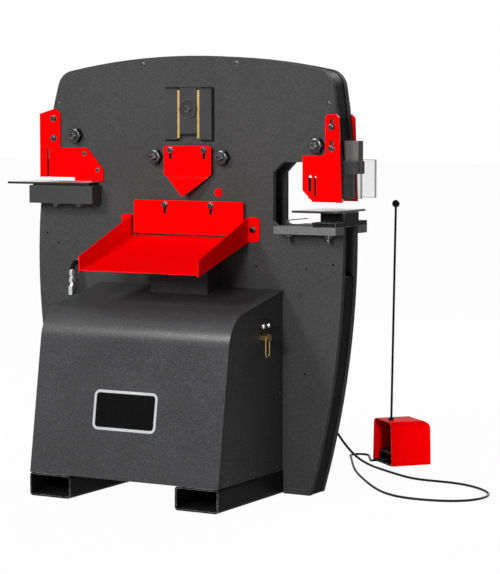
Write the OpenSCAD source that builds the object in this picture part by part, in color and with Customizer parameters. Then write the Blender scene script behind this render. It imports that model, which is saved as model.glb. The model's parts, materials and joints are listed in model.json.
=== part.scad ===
// Ironworker: two upright frame plates with a guided ram between them, a punching station on the right,
// a notching station on the left, bar and angle shears in the middle and a hydraulic cabinet in front.
// Frame: +X right, +Y back, +Z up. Origin on the floor, midway between the plates, on the ram's centre line.

/* [Frame] */
// Overall height of the machine
frame_h = 1420; // [1400:1:1480]
// Thickness of each frame plate
plate_t = 20; // [16:1:24]
// Clear space between the two frame plates
plate_gap = 66; // [60:1:74]
// Reach of the plates to the right of the centre line
reach_right = 565; // [560:1:580]
// Reach of the plates to the left of the centre line
reach_left = 602; // [598:1:620]
// Radius of the right edge of the plates
edge_r_right = 3020; // [2800:10:3400]
// Radius of the left edge of the plates
edge_r_left = 2100; // [2000:10:2400]
// Depth below the top at which the right edge stands farthest out
bulge_drop_right = 585; // [560:1:620]
// Depth below the top at which the left edge stands farthest out
bulge_drop_left = 680; // [650:1:710]
// Radius of the crowned top edge
crown_r = 2400; // [2200:10:2800]
// Radius of the two top corners
corner_r = 65; // [40:1:90]
// Thickness of the cover strips between the plates
cover_t = 5; // [3:0.5:8]
// Depth of the cover strips below the plate edges
cover_recess = 2; // [1:0.5:4]

/* [Fork tubes] */
// Width of each fork tube
tube_w = 156; // [150:1:160]
// Height of each fork tube
tube_h = 76; // [70:1:82]
// Wall of the fork tubes
tube_wall = 6; // [4:0.5:8]
// Outer corner radius of the fork tubes
tube_r = 11; // [9:0.5:14]
// Reach of the fork tubes in front of the plates
tube_front = 425; // [400:1:450]
// Reach of the fork tubes behind the plates
tube_rear = 150; // [120:1:180]

/* [Stations] */
// Depth of the top of both throats below the top of the frame
throat_drop = 344; // [340:1:350]
// Depth of the punching throat from the right edge
punch_throat_inset = 253; // [245:1:265]
// Depth of the right jaw below the top of the frame
punch_jaw_drop = 548; // [540:1:558]
// Depth of the notching throat from the left edge
notch_throat_inset = 217; // [210:1:227]
// Depth of the left jaw below the top of the frame
notch_jaw_drop = 428; // [424:1:436]
// Radius at the lower corner of the throats
throat_r = 17; // [10:1:24]
// Chamfer at the upper corner of the throats
throat_chamfer = 34; // [20:1:40]
// Distance of the punch axis from the right edge
punch_inset = 39; // [37:1:43]
// Side of the square angle opening
angle_side = 78; // [66:1:84]
// Depth of the middle of the angle opening below the top of the frame
angle_drop = 380; // [374:1:386]
// Width of the flat bar slot
bar_w = 320; // [280:1:340]
// Height of the flat bar slot
bar_h = 24; // [18:1:28]
// Depth of the lower edge of the flat bar slot below the top of the frame
bar_drop = 590; // [586:1:591]

/* [Ram] */
// Working stroke of the ram
stroke = 25; // [15:1:26]
// Width of the middle of the ram
ram_w = 400; // [380:1:420]
// Depth of the top of the ram below the top of the frame
ram_top_drop = 120; // [110:1:135]
// Depth of the bottom of the ram below the top of the frame
ram_bottom_drop = 658; // [654:1:662]
// Width of the punching nose of the ram
nose_w = 144; // [136:1:150]
// Depth of the bottom of the punching nose below the top of the frame
nose_drop = 340; // [336:1:343]
// Height of the punching nose
nose_h = 65; // [58:1:70]
// Width of the notching end of the ram
notch_w = 120; // [100:1:130]
// Distance of the middle of the notching end from the left edge
notch_inset = 102; // [97:1:107]
// Width of the slide blocks
slide_w = 66; // [60:1:72]
// Height of the slide blocks
slide_h = 148; // [140:1:152]
// Diameter of the ram pin
pin_d = 50; // [40:1:54]
// Diameter of the pin caps
cap_d = 62; // [58:1:64]
// Depth of the ram pin below the top of the frame
pin_drop = 174; // [168:1:180]
// Width of the guide bars
guide_w = 46; // [38:1:50]
// Height of the guide bars
guide_h = 166; // [160:1:172]
// Depth of the lower end of the guide bars below the top of the frame
guide_drop = 274; // [270:1:275]
// Distance by which the guide bars stand proud of the plate
guide_proud = 10; // [8:0.5:12]
// Depth of the guide pocket in the plate
pocket_d = 4; // [2:0.5:5]
// Width of the brass gibs
gib_w = 9; // [7:0.5:11]

/* [Cylinder] */
// Outside diameter of the cylinder
barrel_d = 160; // [150:1:170]
// Bore of the cylinder
barrel_bore = 130; // [120:1:136]
// Depth of the bottom of the cylinder below the top of the frame
barrel_drop = 980; // [970:1:990]
// Length of the cylinder barrel
barrel_h = 260; // [250:1:264]
// Diameter of the piston rod
rod_d = 60; // [50:1:62]

/* [Guards] */
// Thickness of the red guard plates
guard_t = 6; // [4:0.5:8]
// Travel of the punch guards in their slots
punch_guard_travel = 20; // [12:1:21]
// Travel of the shear guards in their slots
shear_guard_travel = 25; // [15:1:26]
// Width of the angle shear guard
angle_guard_w = 180; // [170:1:188]
// Height of the angle shear guard down to its bend
angle_guard_h = 92; // [86:1:96]
// Depth of the top of the angle shear guard below the top of the frame
angle_guard_drop = 295; // [290:1:300]
// Length of the bent tip of the angle shear guard
angle_tip_l = 82; // [70:1:90]
// Bend of the angle shear guard's tip in degrees
angle_tip_bend = 30; // [20:1:40]
// Width of the bar shear guard
bar_guard_w = 418; // [400:1:424]
// Height of the bar shear guard
bar_guard_h = 111; // [105:1:116]
// Depth of the lower edge of the bar shear guard below the top of the frame
bar_guard_drop = 586; // [582:1:588]
// Length of the clear shields beside the punch
shield_l = 115; // [100:1:125]
// Height of the clear shields
shield_h = 122; // [112:1:126]
// Thickness of the clear shields
shield_t = 4; // [3:0.5:5]

/* [Tables] */
// Length of the punch table from left to right
punch_table_w = 148; // [140:1:154]
// Depth of both tables from front to back
table_depth = 230; // [222:1:240]
// Thickness of both tables
table_t = 7; // [5:0.5:9]
// Length of the notch table from left to right
notch_table_w = 331; // [320:1:340]
// Reach of the support bars in front of the plates
support_reach = 60; // [55:1:64]
// Length of the punch support bars
bolster_w = 222; // [214:1:228]
// Height of the punch support bars
bolster_h = 24; // [20:1:28]
// Length of the notch support blocks
notch_block_w = 255; // [245:1:262]
// Height of the notch support blocks
notch_block_h = 64; // [58:1:70]
// Diameter of the punch
punch_d = 24; // [18:0.5:30]
// Diameter of the die
die_d = 60; // [56:0.5:64]

/* [Tray] */
// Inside width of the drop tray
tray_w = 440; // [432:1:450]
// Reach of the drop tray in front of the plate
tray_reach = 326; // [310:1:340]
// Depth of the tray floor at the plate below the top of the frame
tray_drop = 592; // [591:1:600]
// Slope of the tray floor in degrees
tray_slope = 16.6; // [14:0.1:18]
// Height of the tray walls at the plate
tray_wall_rear = 68; // [62:1:74]
// Height of the tray walls at the front
tray_wall_front = 42; // [36:1:48]
// Sheet thickness of the tray
tray_t = 4; // [3:0.5:5]

/* [Cabinet] */
// Width of the cabinet
cab_w = 702; // [690:1:712]
// Depth of the cabinet top, where it meets the plate, below the top of the frame
cab_drop = 756; // [748:1:764]
// Lean of the cabinet front in degrees
cab_lean = 8.9; // [7:0.1:10]
// Slope of the cabinet top in degrees
cab_slope = 11.6; // [10:0.1:13]
// Radius of the bend between the front and the top
cab_r = 120; // [90:1:140]
// Sheet thickness of the cabinet
cab_t = 3; // [2:0.5:4]
// Travel of the push buttons
button_travel = 3; // [2:0.5:4]

/* [Pedal] */
// Length of the pedal guard
pedal_l = 150; // [140:1:160]
// Width of the pedal guard
pedal_w = 164; // [156:1:172]
// Height of the pedal guard
pedal_h = 154; // [148:1:162]
// Wall of the pedal guard
pedal_wall = 4; // [3:0.5:5]
// Diameter of the carrying rod
carry_d = 8; // [6:0.5:9]
// Length of the carrying rod
carry_l = 756; // [720:1:780]
// Diameter of the ball knob
knob_d = 27; // [24:0.5:32]

/* [Hidden] */
$fn = 64;

// Clearances, shared by every seat
cut = 1;
fit = 0.1;
slip = 0.05;
run = 0.3;

// Heights and places that follow from the overall sizes
bulge_z_right = frame_h - bulge_drop_right;
bulge_z_left = frame_h - bulge_drop_left;
throat_top_z = frame_h - throat_drop;
punch_throat_x = reach_right - punch_throat_inset;
punch_jaw_z = frame_h - punch_jaw_drop;
notch_throat_x = reach_left - notch_throat_inset;
notch_jaw_z = frame_h - notch_jaw_drop;
punch_x = reach_right - punch_inset;
notch_x = reach_left - notch_inset;
angle_z = frame_h - angle_drop;
bar_z = frame_h - bar_drop;
ram_top_z = frame_h - ram_top_drop;
ram_bottom_z = frame_h - ram_bottom_drop;
nose_z = frame_h - nose_drop;
pin_z = frame_h - pin_drop;
guide_z = frame_h - guide_drop;
barrel_z = frame_h - barrel_drop;
angle_guard_z = frame_h - angle_guard_drop;
bar_guard_z = frame_h - bar_guard_drop;
tray_z = frame_h - tray_drop;
cab_z = frame_h - cab_drop;
tube_x = cab_w / 2 - tube_w;

// Layers of the frame from front to back
gap_half = plate_gap / 2;
face = gap_half + plate_t;
pad_t = 8;
ram_half = gap_half - pad_t;
frame_top_fn = 720;

// Fasteners: shank, head across flats, head height and depth of the shank in the plate
big_shank = 12;
big_af = 18;
big_head = 8;
small_shank = 8;
small_af = 12;
small_head = 5.5;
shank_in = 14;
shoulder_d = 20;
shear_lift = 8;
angle_lift = 11;
cover_bolt_inset = 20;
cover_bolt_x = 178;
cover_bolt_drop = 158;
cover_bolt_z = frame_h - cover_bolt_drop;
sleeve_d = 24;
base_bar_h = 20;

// Gib adjusters: distance from the edge or the centre line and below the top, screw, nut and stub
gib_left = [158, 263];
gib_mid = [128, 332];
gib_right = [92, 290];
gib_places = [
    [gib_left[0] - reach_left, frame_h - gib_left[1]], [-gib_mid[0], frame_h - gib_mid[1]],
    [gib_mid[0], frame_h - gib_mid[1]], [reach_right - gib_right[0], frame_h - gib_right[1]]
];
gib_screw_d = 24;
gib_nut_af = 46;
gib_nut_h = 24;
gib_stub = 16;
gib_pad_d = 40;
gib_chamfer = 3;

// Guide pocket and slide
pocket_margin = 6;
pocket_below = 8;
slide_rise = 2;
slide_chamfer = 5;
cap_t = 6;
cap_bolt_af = 18;
cap_bolt_h = 7;
slide_t = pocket_d + guide_proud - run;
guide_x = slide_w / 2 + run + gib_w;
pin_slot_gap = 2;
pin_reach = face + guide_proud;
slide_z = guide_z + guide_h + slide_rise - slide_h;

// Ram outline
arm_rise = 14;
arm_drop_share = 0.42;
shoulder_share = 0.5;
notch_end_drop = 370;
notch_end_z = frame_h - notch_end_drop;
notch_end_h = 100;
nose_out = 35;
nose_half = 17;
nose_gap = 1.5;
nose_slot_gap = 5;
tongue_inset = 40;
nose_x1 = reach_right + nose_out;
nose_x0 = nose_x1 - nose_w;
blade_w = 22;
blade_t = 14;
ram_open = 2;

// Cylinder
window_gap = 4;
window_r = 20;
barrel_floor = 30;
gland_h = 26;
lug_w = 80;
lug_h = 84;
base_pin_d = 50;
base_cap_d = 72;
base_cap_t = 8;
piston_h = 40;
piston_rise = 120;
piston_z = barrel_z + piston_rise;

// Punching station
die_block_w = 84;
die_flange_h = 16;
die_block_h = 29;
die_h = 29;
slug_d = 40;
holder_w = 130;
holder_half = 27.5;
holder_block_h = 40;
holder_d = 92;
holder_h = 80;
punch_shank_d = 40;
punch_l = 94;
table_nut_h = 10;
table_stud_d = 10;
table_stud_l = 16;
table_end_inset = 7;
table_bolt_af = 19;
punch_bolt_shares = [0.18, 0.82];
notch_bolt_shares = [0.28, 0.64];
gauge_d = 6;
gauge_l = 142;
gauge_in = 5;
gauge_rise = 12;

// Notching station
notch_table_inset = 245;
notch_table_x = notch_table_inset - reach_left;
notch_block_inset = 257;
notch_block_x = notch_block_inset - reach_left;
riser_h = 4;
riser_inset = 9;
notch_die_h = 60;
notch_die_margin = 14;
notch_punch_w = 110;
notch_punch_t = 44;
notch_punch_h = 36;
notch_slide_gap = 1;

// Outline of the notching guard, clockwise from its lower left corner
notch_guard_inset = 10;
notch_guard_x = notch_guard_inset - reach_left;
notch_guard_w = 256;
notch_guard_drop = 417;
notch_guard_z = frame_h - notch_guard_drop;
notch_guard_h = 245;
notch_neck_w = 83;
notch_shelf_h = 112;
notch_corner_w = 64;
notch_corner_h = 72;
notch_lift_w = 142;
notch_lift_h = 12;
notch_peak_w = 64;
notch_peak_h = 18;
notch_peak_back = 17;
notch_slit_x = 28;
notch_slit_w = 9;
notch_slit_h = 110;
notch_big_places = [[58, 211], [58, 144]];
notch_small_places = [[182, 93], [235, 38]];

// Outline of the punch guards from their lower left corner
punch_guard_inset = 143;
punch_guard_x = reach_right - punch_guard_inset;
punch_guard_w = 140;
punch_guard_drop = 470;
punch_guard_z = frame_h - punch_guard_drop;
punch_guard_h = 279;
punch_guard_neck = 81;
punch_guard_shelf = 147;
punch_guard_corner = 37;
punch_guard_taper = 10;
punch_guard_r = 10;
punch_slot_x = 104;
punch_slot_zs = [239, 171];
sight_slots = [[27, 32, 54, 12], [46, 16, 67, 8]];
shield_x = 93;
shield_z = 13;
shield_ledge = 14;
shield_hole_d = 6;
shield_hole_x = 110;
shield_hole_zs = [24, 55];
guard_stud_d = 9;
guard_stud_h = 3;
guard_stud_xs = [6, 55];
guard_stud_drop = 9;

// Shear guards and the plug
angle_bolt_x = 64;
angle_bolt_drop = 13;
bar_bolt_x = 88;
bar_bolt_drop = 14;
guard_r = 8;
angle_bend_r = 40;
angle_tip_r = 10;
bend_steps = 8;
plug_d = 30;
plug_stem_d = 22;
plug_h = 5;
plug_x = 109;
plug_drop = 447;
plug_z = frame_h - plug_drop;

// Small tapped holes of the front plate: distance from the side edge and below the top
tap_d = 7;
taps_right = [[133, 685], [35, 669], [315, 683], [137, 1026]];
taps_left = [[34, 596], [80, 629]];

// Ends of the cover strips
cover_left_drop = 261;
cover_lift = 4;
side_cover_drop = 717;
cover_roll = 15;

// Tray ears and support
ear_w = 40;
ear_h = 81;
ear_low = 13;
ear_r = 14;
ear_bolt_out = 16;
tray_lip = 5;
support_x = -97;
support_w = 216;
support_reach_y = 92;
support_low = 14;
support_t = 3;

// Cabinet fittings
side_inset = 3;
side_x = cab_w / 2 - side_inset;
screw_d = 9;
screw_h = 2.5;
screw_inset = 16;
control_y = -182;
control_drop = 105;
control_z = cab_z - control_drop;
control_w = 72;
control_h = 36;
control_t = 3;
button_pitch = 34;
bezel_d = 26;
bezel_h = 5;
button_d = 16;
button_h = 7;
coupler_drop = 141;
coupler_z = cab_z - coupler_drop;
coupler_front = 14;
coupler_y = control_y - coupler_front;
coupler_af = 27;
coupler_hex_h = 20;
coupler_d = 23;
coupler_l = 7;
coupler_groove = 4;
loop_d = 3.6;
loop_w = 24;
loop_l = 62;
tank_w_share = 0.37;
tank_h_share = 0.6;
tank_depth = 220;
tank_inset = 28;
tank_gap = 90;
motor_d = 160;
motor_l_share = 0.355;
motor_inset = 38;
motor_foot_h = 30;

// Hose beside the cabinet
hose_gap = 89;
hose_x = -cab_w / 2 - hose_gap;
hose_out = 40;
hose_d = 20;
hose_bend = 50;
hose_low_drop = 184;
hose_low_z = cab_z - hose_low_drop;
fit_low_drop = 46;
fit_low_z = cab_z - fit_low_drop;
fit_hex_af = 28;
fit_hex_h = 20;
ferrule_d = 24;
ferrule_h = 46;
elbow_r = 28;
elbow_d = 18;

// Pedal, measured from the middle of its open end
pedal_inset = 193;
pedal_back = 592;
pedal_at = [reach_right - pedal_inset, face + pedal_back, 0];
pedal_turn = 49;
pedal_r = 22;
pedal_back_r = 28;
pedal_draft = 5;
base_t = 6;
treadle_pin_d = 10;
treadle_pin_x = 30;
treadle_pin_z = 34;
treadle_w = 110;
treadle_l = 100;
treadle_t = 8;
treadle_rise = 8;
lug_t = 8;
lug_gap = 1;
switch_w = 60;
switch_l = 34;
switch_h = 30;
switch_x = 86;
cord_block_x = 28;
cord_block_l = 32;
cord_block_w = 24;
cord_block_h = 22;
carry_x = 31;
carry_y = -7;
carry_lean = 1;
carry_nut_af = 17;
carry_nut_h = 8;

// Cord gland on the rear plate, and the cord's route from the foot of the plate's edge to the pedal
gland_inset = 153;
gland_z = 246;
gland_d = 26;
gland_l = 22;
gland_tip_d = 14;
cord_d = 8;
cord_sides = 10;
cord_in_y = -14;
cord_in_z = 14;
cord_in_l = 14;
gland_x = reach_right - gland_inset;
function in_pedal(p) = pedal_at + [
    p[0] * cos(pedal_turn) - p[1] * sin(pedal_turn), p[0] * sin(pedal_turn) + p[1] * cos(pedal_turn), p[2]
];
cord_from = [reach_right, face, 0];
cord_ways = [
    [-153, 38, 245.9], [-152.6, 53.8, 244.3], [-150.1, 68.3, 238.9], [-145.9, 79.6, 228.8],
    [-140.3, 87.5, 216.1], [-134.1, 92.8, 202.5], [-125.8, 97.2, 186], [-114.5, 101.2, 166.5],
    [-105.4, 111.6, 148.3], [-97.6, 124.7, 131.1], [-84.9, 152.6, 101.1], [-77.6, 188.4, 78.9],
    [-69.4, 242.5, 54.1], [-64.5, 265.3, 45.2], [-58.4, 286, 37.5], [-49.4, 305.7, 29.8],
    [-35.8, 322.3, 22.1], [-16.9, 332.4, 14.6], [5.1, 336.4, 9.8], [30.9, 335.8, 7], [86.2, 328.4, 4],
    [164.1, 325.5, 4], [214.8, 320.3, 4], [263.2, 305.2, 4], [306.5, 274.9, 4], [345.8, 237.9, 4],
    [375.6, 200.4, 4], [393, 156, 4], [395, 114.2, 4], [385.4, 73.6, 4], [361.7, 39.3, 4], [316.9, 8, 4],
    [262.1, -6.5, 4], [194.3, -5.3, 4], [134.2, 9.2, 4], [81.8, 41.8, 4], [23, 97.4, 4], [-28.2, 160.2, 4],
    [-78.7, 222.2, 4], [-127.2, 285.8, 4], [-173.1, 351.4, 4], [-215.9, 418.9, 4], [-256.1, 488.1, 4],
    [-294.9, 558, 4], [-324.7, 612.4, 4], [-332, 625.5, 4], [-338.3, 636.9, 4], [-344.6, 648.3, 4],
    [-351.3, 660.5, 4], [-357.5, 673, 4], [-360, 686.5, 4], [-356.9, 699.7, 4], [-348.7, 710.5, 4],
    [-336.7, 716.9, 4], [-323.2, 717.9, 4], [-310.4, 713.2, 4], [-300.6, 703.7, 4], [-293.3, 691.9, 4],
    [-286.4, 679.7, 4], [-280.1, 668.3, 4], [-267, 644.7, 4], [-259.2, 630.7, 4], [-251.9, 617.6, 4.1],
    [-244.6, 604.5, 4.9], [-236.8, 591.8, 6.7], [-226.3, 581.5, 9], [-212.7, 576, 11.3],
    [-198.1, 576.4, 13.1], [-184.8, 582.5, 13.9]
];
cord_plug = [[cord_block_x - cord_in_l, cord_in_y, cord_in_z], [cord_block_x, cord_in_y, cord_in_z]];
cord_route = concat(
    [[gland_x, face + gland_l, gland_z]], [for (p = cord_ways) cord_from + p],
    [for (p = cord_plug) in_pedal(p)]
);

// Basic shapes

// Point where two circles cross, on the side given by the sign
function meet(a, ra, b, rb, side) =
    let (d = norm(b - a), u = (b - a) / d, k = (ra * ra - rb * rb + d * d) / (2 * d))
    a + k * u + side * sqrt(ra * ra - k * k) * [-u[1], u[0]];

// Upright outline in X and Z, carried towards the front from the plane y
module slab(y, t) {
    translate([0, y, 0]) rotate([90, 0, 0]) linear_extrude(t) children();
}

module front_slab(lift, t) {
    slab(-face - lift, t) children();
}

module both_faces() {
    children();
    mirror([0, 1, 0]) children();
}

module rod_y(x, z, d, y0, y1) {
    translate([x, y1, z]) rotate([90, 0, 0]) cylinder(d = d, h = y1 - y0);
}

module hex_y(x, z, af, y0, y1) {
    translate([x, y1, z]) rotate([90, 0, 0]) cylinder(d = af / cos(30), h = y1 - y0, $fn = 6);
}

module box(x, y, z) {
    translate([x[0], y[0], z[0]]) cube([x[1] - x[0], y[1] - y[0], z[1] - z[0]]);
}

// Rectangle with round corners, from its lower left corner
module round_rect(w, h, r) {
    translate([r, 0]) square([w - 2 * r, h]);
    translate([0, r]) square([w, h - 2 * r]);
    for (x = [r, w - r], z = [r, h - r]) translate([x, z]) circle(r);
}

// Upright slot between two heights
module slot(x, z0, z1, w) {
    translate([x - w / 2, z0]) square([w, z1 - z0]);
    translate([x, z0]) circle(d = w);
    translate([x, z1]) circle(d = w);
}

// Plate outline: two bulged edges and a crowned top, with round top corners
crown_c = [0, frame_h - crown_r];
right_c = [reach_right - edge_r_right, bulge_z_right];
left_c = [edge_r_left - reach_left, bulge_z_left];
right_corner = meet(crown_c, crown_r - corner_r, right_c, edge_r_right - corner_r, -1);
left_corner = meet(crown_c, crown_r - corner_r, left_c, edge_r_left - corner_r, 1);

module corner_nib(c, edge_c, inset) {
    u = (c - crown_c) / norm(c - crown_c);
    v = (c - edge_c) / norm(c - edge_c);
    far = 2 * corner_r;
    difference() {
        polygon([c, c + far * u, c + far * (u + v), c + far * v]);
        translate(c) circle(corner_r - inset);
    }
}

module plate_outline(inset) {
    difference() {
        intersection() {
            translate(crown_c) circle(crown_r - inset, $fn = frame_top_fn);
            translate(right_c) circle(edge_r_right - inset, $fn = frame_top_fn);
            translate(left_c) circle(edge_r_left - inset, $fn = frame_top_fn);
            translate([-reach_left, 0]) square([reach_left + reach_right, frame_h]);
        }
        corner_nib(right_corner, right_c, inset);
        corner_nib(left_corner, left_c, inset);
    }
}

// Side throat open to the edge, drawn to the right from its back wall
module throat(jaw_z, reach) {
    h = throat_top_z - jaw_z;
    difference() {
        translate([0, jaw_z]) square([reach, h]);
        polygon([[0, throat_top_z], [0, throat_top_z - throat_chamfer], [throat_chamfer, throat_top_z]]);
        difference() {
            translate([0, jaw_z]) square(throat_r);
            translate([throat_r, jaw_z + throat_r]) circle(throat_r);
        }
    }
}

module angle_square(side) {
    translate([0, angle_z]) rotate(45) square(side, center = true);
}

module bar_slot(margin) {
    translate([-bar_w / 2 - margin, bar_z]) square([bar_w + 2 * margin, bar_h]);
}

module plate_blank() {
    difference() {
        plate_outline(0);
        translate([punch_throat_x, 0]) throat(punch_jaw_z, reach_right);
        mirror([1, 0]) translate([notch_throat_x, 0]) throat(notch_jaw_z, reach_left);
        angle_square(angle_side);
        bar_slot(0);
        slot(0, pin_z - stroke, pin_z, pin_d + 2 * pin_slot_gap);
        translate([-barrel_d / 2 - window_gap, barrel_z - window_gap])
            round_rect(barrel_d + 2 * window_gap, barrel_h + gland_h + 2 * window_gap, window_r);
        for (side = [-1, 1])
            translate([side * (tube_x + tube_w / 2) - tube_w / 2 - fit, -cut])
                square([tube_w + 2 * fit, tube_h + fit + cut]);
    }
}

module guide_pocket() {
    half = guide_x + guide_w + pocket_margin;
    h = guide_h + pocket_margin + pocket_below;
    translate([-half, guide_z - pocket_below]) square([2 * half, h]);
}

// Places of the fasteners on the front face
notch_big = [for (p = notch_big_places) [notch_guard_x + p[0], notch_guard_z + p[1]]];
notch_small = [for (p = notch_small_places) [notch_guard_x + p[0], notch_guard_z + p[1]]];
punch_big = [for (z = punch_slot_zs) [punch_guard_x + punch_slot_x, punch_guard_z + z]];
angle_big = [for (s = [-1, 1]) [s * angle_bolt_x, angle_guard_z - angle_bolt_drop]];
bar_big = [for (s = [-1, 1]) [s * bar_bolt_x, bar_guard_z + bar_guard_h - bar_bolt_drop]];
tray_big = [for (s = [-1, 1]) [s * (tray_w / 2 + tray_t + ear_bolt_out), tray_z - ear_low + ear_h / 2]];
taps = concat(
    [for (p = taps_right) [reach_right - p[0], frame_h - p[1]]],
    [for (p = taps_left) [p[0] - reach_left, frame_h - p[1]]]
);
function edge_x(c, r, z) = sqrt(r * r - (z - c[1]) * (z - c[1]));
crown_bolt_z = crown_c[1] + sqrt(pow(crown_r - cover_bolt_inset, 2) - cover_bolt_x * cover_bolt_x);
cover_places = [
    [-cover_bolt_x, crown_bolt_z], [cover_bolt_x, crown_bolt_z],
    [left_c[0] - edge_x(left_c, edge_r_left - cover_bolt_inset, cover_bolt_z), cover_bolt_z],
    [right_c[0] + edge_x(right_c, edge_r_right - cover_bolt_inset, cover_bolt_z), cover_bolt_z]
];

module blind_holes(places, d) {
    for (p = places) rod_y(p[0], p[1], d + 2 * fit, -face - cut, -face + shank_in + fit);
}

// Frame

module shared_holes() {
    blind_holes(concat(notch_big, punch_big), big_shank);
    blind_holes(concat(notch_small, cover_places), small_shank);
    front_slab(-pocket_d, pocket_d + cut) guide_pocket();
    rod_y(0, barrel_z - lug_h / 2, base_pin_d + 2 * fit, -face - cut, 0);
}

module front_plate() {
    color("#444446") difference() {
        slab(-gap_half, plate_t) plate_blank();
        shared_holes();
        blind_holes(concat(angle_big, bar_big, tray_big), big_shank);
        blind_holes([[plug_x, plug_z]], plug_stem_d);
        blind_holes(taps, tap_d);
        for (p = gib_places) rod_y(p[0], p[1], gib_screw_d + 2 * slip, -face - cut, 0);
    }
}

module rear_plate() {
    color("#444446") difference() {
        slab(face, plate_t) plate_blank();
        mirror([0, 1, 0]) shared_holes();
    }
}

module frame_spacers() {
    color("#2b2b2c") {
        box([-tube_x + cut, tube_x - cut], [-gap_half, gap_half], [0, base_bar_h]);
        for (p = cover_places) rod_y(p[0], p[1], sleeve_d, -gap_half, gap_half);
    }
}

module hex_bolt(p, lift, af, head, shank) {
    hex_y(p[0], p[1], af, -face - lift - head, -face - lift);
    rod_y(p[0], p[1], shank, -face - lift - slip, -face + shank_in);
}

module shoulder_bolt(p, lift) {
    hex_bolt(p, lift + guard_t + run, big_af, big_head, big_shank);
    rod_y(p[0], p[1], shoulder_d, -face - lift + run, -face);
}

module cover_bolts() {
    color("#3a3a3c") both_faces() {
        for (p = cover_places) hex_bolt(p, 0, small_af, small_head, small_shank);
        for (p = notch_small) hex_bolt(p, guard_t, small_af, small_head, small_shank);
    }
}

module guard_bolts() {
    color("#3a3a3c") {
        both_faces() {
            for (p = notch_big) hex_bolt(p, guard_t, big_af, big_head, big_shank);
            for (p = punch_big) hex_bolt(p, guard_t + 2 * run, big_af, big_head, big_shank);
        }
        for (p = angle_big) shoulder_bolt(p, angle_lift);
        for (p = bar_big) shoulder_bolt(p, shear_lift);
        for (p = tray_big) hex_bolt(p, tray_t, big_af, big_head, big_shank);
    }
}

module cover_band(z0, z1) {
    slab(gap_half - fit, plate_gap - 2 * fit) intersection() {
        difference() {
            plate_outline(cover_recess);
            plate_outline(cover_recess + cover_t);
        }
        translate([-reach_left, z0]) square([reach_left + reach_right, z1 - z0]);
    }
}

// Crown strip; its right end is slotted for the tongue of the ram
module top_cover() {
    slot_half = nose_half + nose_gap;
    color("#0c0c0d") difference() {
        cover_band(nose_z + cover_lift, frame_h);
        box([-reach_left, 0], [-face, face], [0, frame_h - cover_left_drop]);
        box([0, reach_right], [-slot_half, slot_half], [0, nose_z + nose_h + nose_slot_gap]);
    }
}

// Side strips; the right one ends in a roll under the punching jaw
module side_covers() {
    z = frame_h - side_cover_drop;
    x = right_c[0] + edge_x(right_c, edge_r_right - cover_recess, z) - cover_roll;
    color("#0c0c0d") {
        difference() {
            cover_band(0, notch_jaw_z - notch_die_h - cut);
            box([0, reach_right], [-face, face], [z, frame_h]);
        }
        difference() {
            rod_y(x, z, 2 * cover_roll, -gap_half + fit, gap_half - fit);
            rod_y(x, z, 2 * cover_roll - 2 * cover_t, -face, face);
            box([x - 2 * cover_roll, x], [-face, face], [0, frame_h]);
            box([0, reach_right], [-face, face], [0, z]);
        }
    }
}

module fork_tubes() {
    y_rear = face + tube_rear;
    color("#1c1c1d") for (s = [0, 1]) mirror([s, 0, 0])
        slab(y_rear, tube_front + 2 * face + tube_rear) difference() {
            translate([tube_x, 0]) round_rect(tube_w, tube_h, tube_r);
            translate([tube_x + tube_wall, tube_wall])
                round_rect(tube_w - 2 * tube_wall, tube_h - 2 * tube_wall, tube_r - tube_wall);
        }
}

// Ram guide

module guide_bars() {
    color("#4a4a4c") both_faces() for (s = [0, 1]) mirror([s, 0, 0])
        front_slab(-pocket_d, pocket_d + guide_proud)
            translate([guide_x, guide_z]) square([guide_w, guide_h]);
}

module brass_gibs() {
    color("#c9a24a") both_faces() for (s = [0, 1]) mirror([s, 0, 0])
        front_slab(-pocket_d, pocket_d + guide_proud - cut)
            translate([guide_x - gib_w, guide_z + pocket_d]) square([gib_w, guide_h - 2 * pocket_d]);
}

module gib_screws() {
    color("#2e2e30") for (p = gib_places) {
        rod_y(p[0], p[1], gib_screw_d, -face - gib_nut_h - gib_stub + gib_chamfer, -gap_half);
        translate([p[0], -face - gib_nut_h - gib_stub + gib_chamfer, p[1]]) rotate([90, 0, 0])
            cylinder(d1 = gib_screw_d, d2 = gib_screw_d - 2 * gib_chamfer, h = gib_chamfer);
    }
}

// Hexagon nut with its corners turned down on the outer side
module gib_lock_nuts() {
    color("#3c3c3e") for (p = gib_places) difference() {
        intersection() {
            hex_y(p[0], p[1], gib_nut_af, -face - gib_nut_h, -face);
            translate([p[0], -face, p[1]]) rotate([90, 0, 0])
                cylinder(d1 = gib_nut_af + 2 * gib_nut_h, d2 = gib_nut_af, h = gib_nut_h);
        }
        rod_y(p[0], p[1], gib_screw_d + 2 * slip, -face - gib_nut_h - cut, -face + cut);
    }
}

module wear_pads() {
    color("#b08a3e") both_faces() for (p = gib_places)
        rod_y(p[0], p[1], gib_pad_d, -gap_half, -ram_half - run);
}

// Cylinder

module cylinder_barrel() {
    color("#39393b") difference() {
        union() {
            translate([0, 0, barrel_z]) cylinder(d = barrel_d, h = barrel_h);
            box([-lug_w / 2, lug_w / 2], [-gap_half + run, gap_half - run], [barrel_z - lug_h, barrel_z]);
        }
        translate([0, 0, barrel_z + barrel_floor]) cylinder(d = barrel_bore, h = barrel_h);
        rod_y(0, barrel_z - lug_h / 2, base_pin_d + 2 * fit, -face, face);
    }
}

module cylinder_gland() {
    color("#39393b") translate([0, 0, barrel_z + barrel_h]) difference() {
        cylinder(d = barrel_d, h = gland_h);
        translate([0, 0, -cut]) cylinder(d = rod_d + 2 * slip, h = gland_h + 2 * cut);
    }
}

module cylinder_pin() {
    color("#5a5a5c") {
        rod_y(0, barrel_z - lug_h / 2, base_pin_d, -face, face);
        both_faces() rod_y(0, barrel_z - lug_h / 2, base_cap_d, -face - base_cap_t, -face);
    }
}

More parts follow.
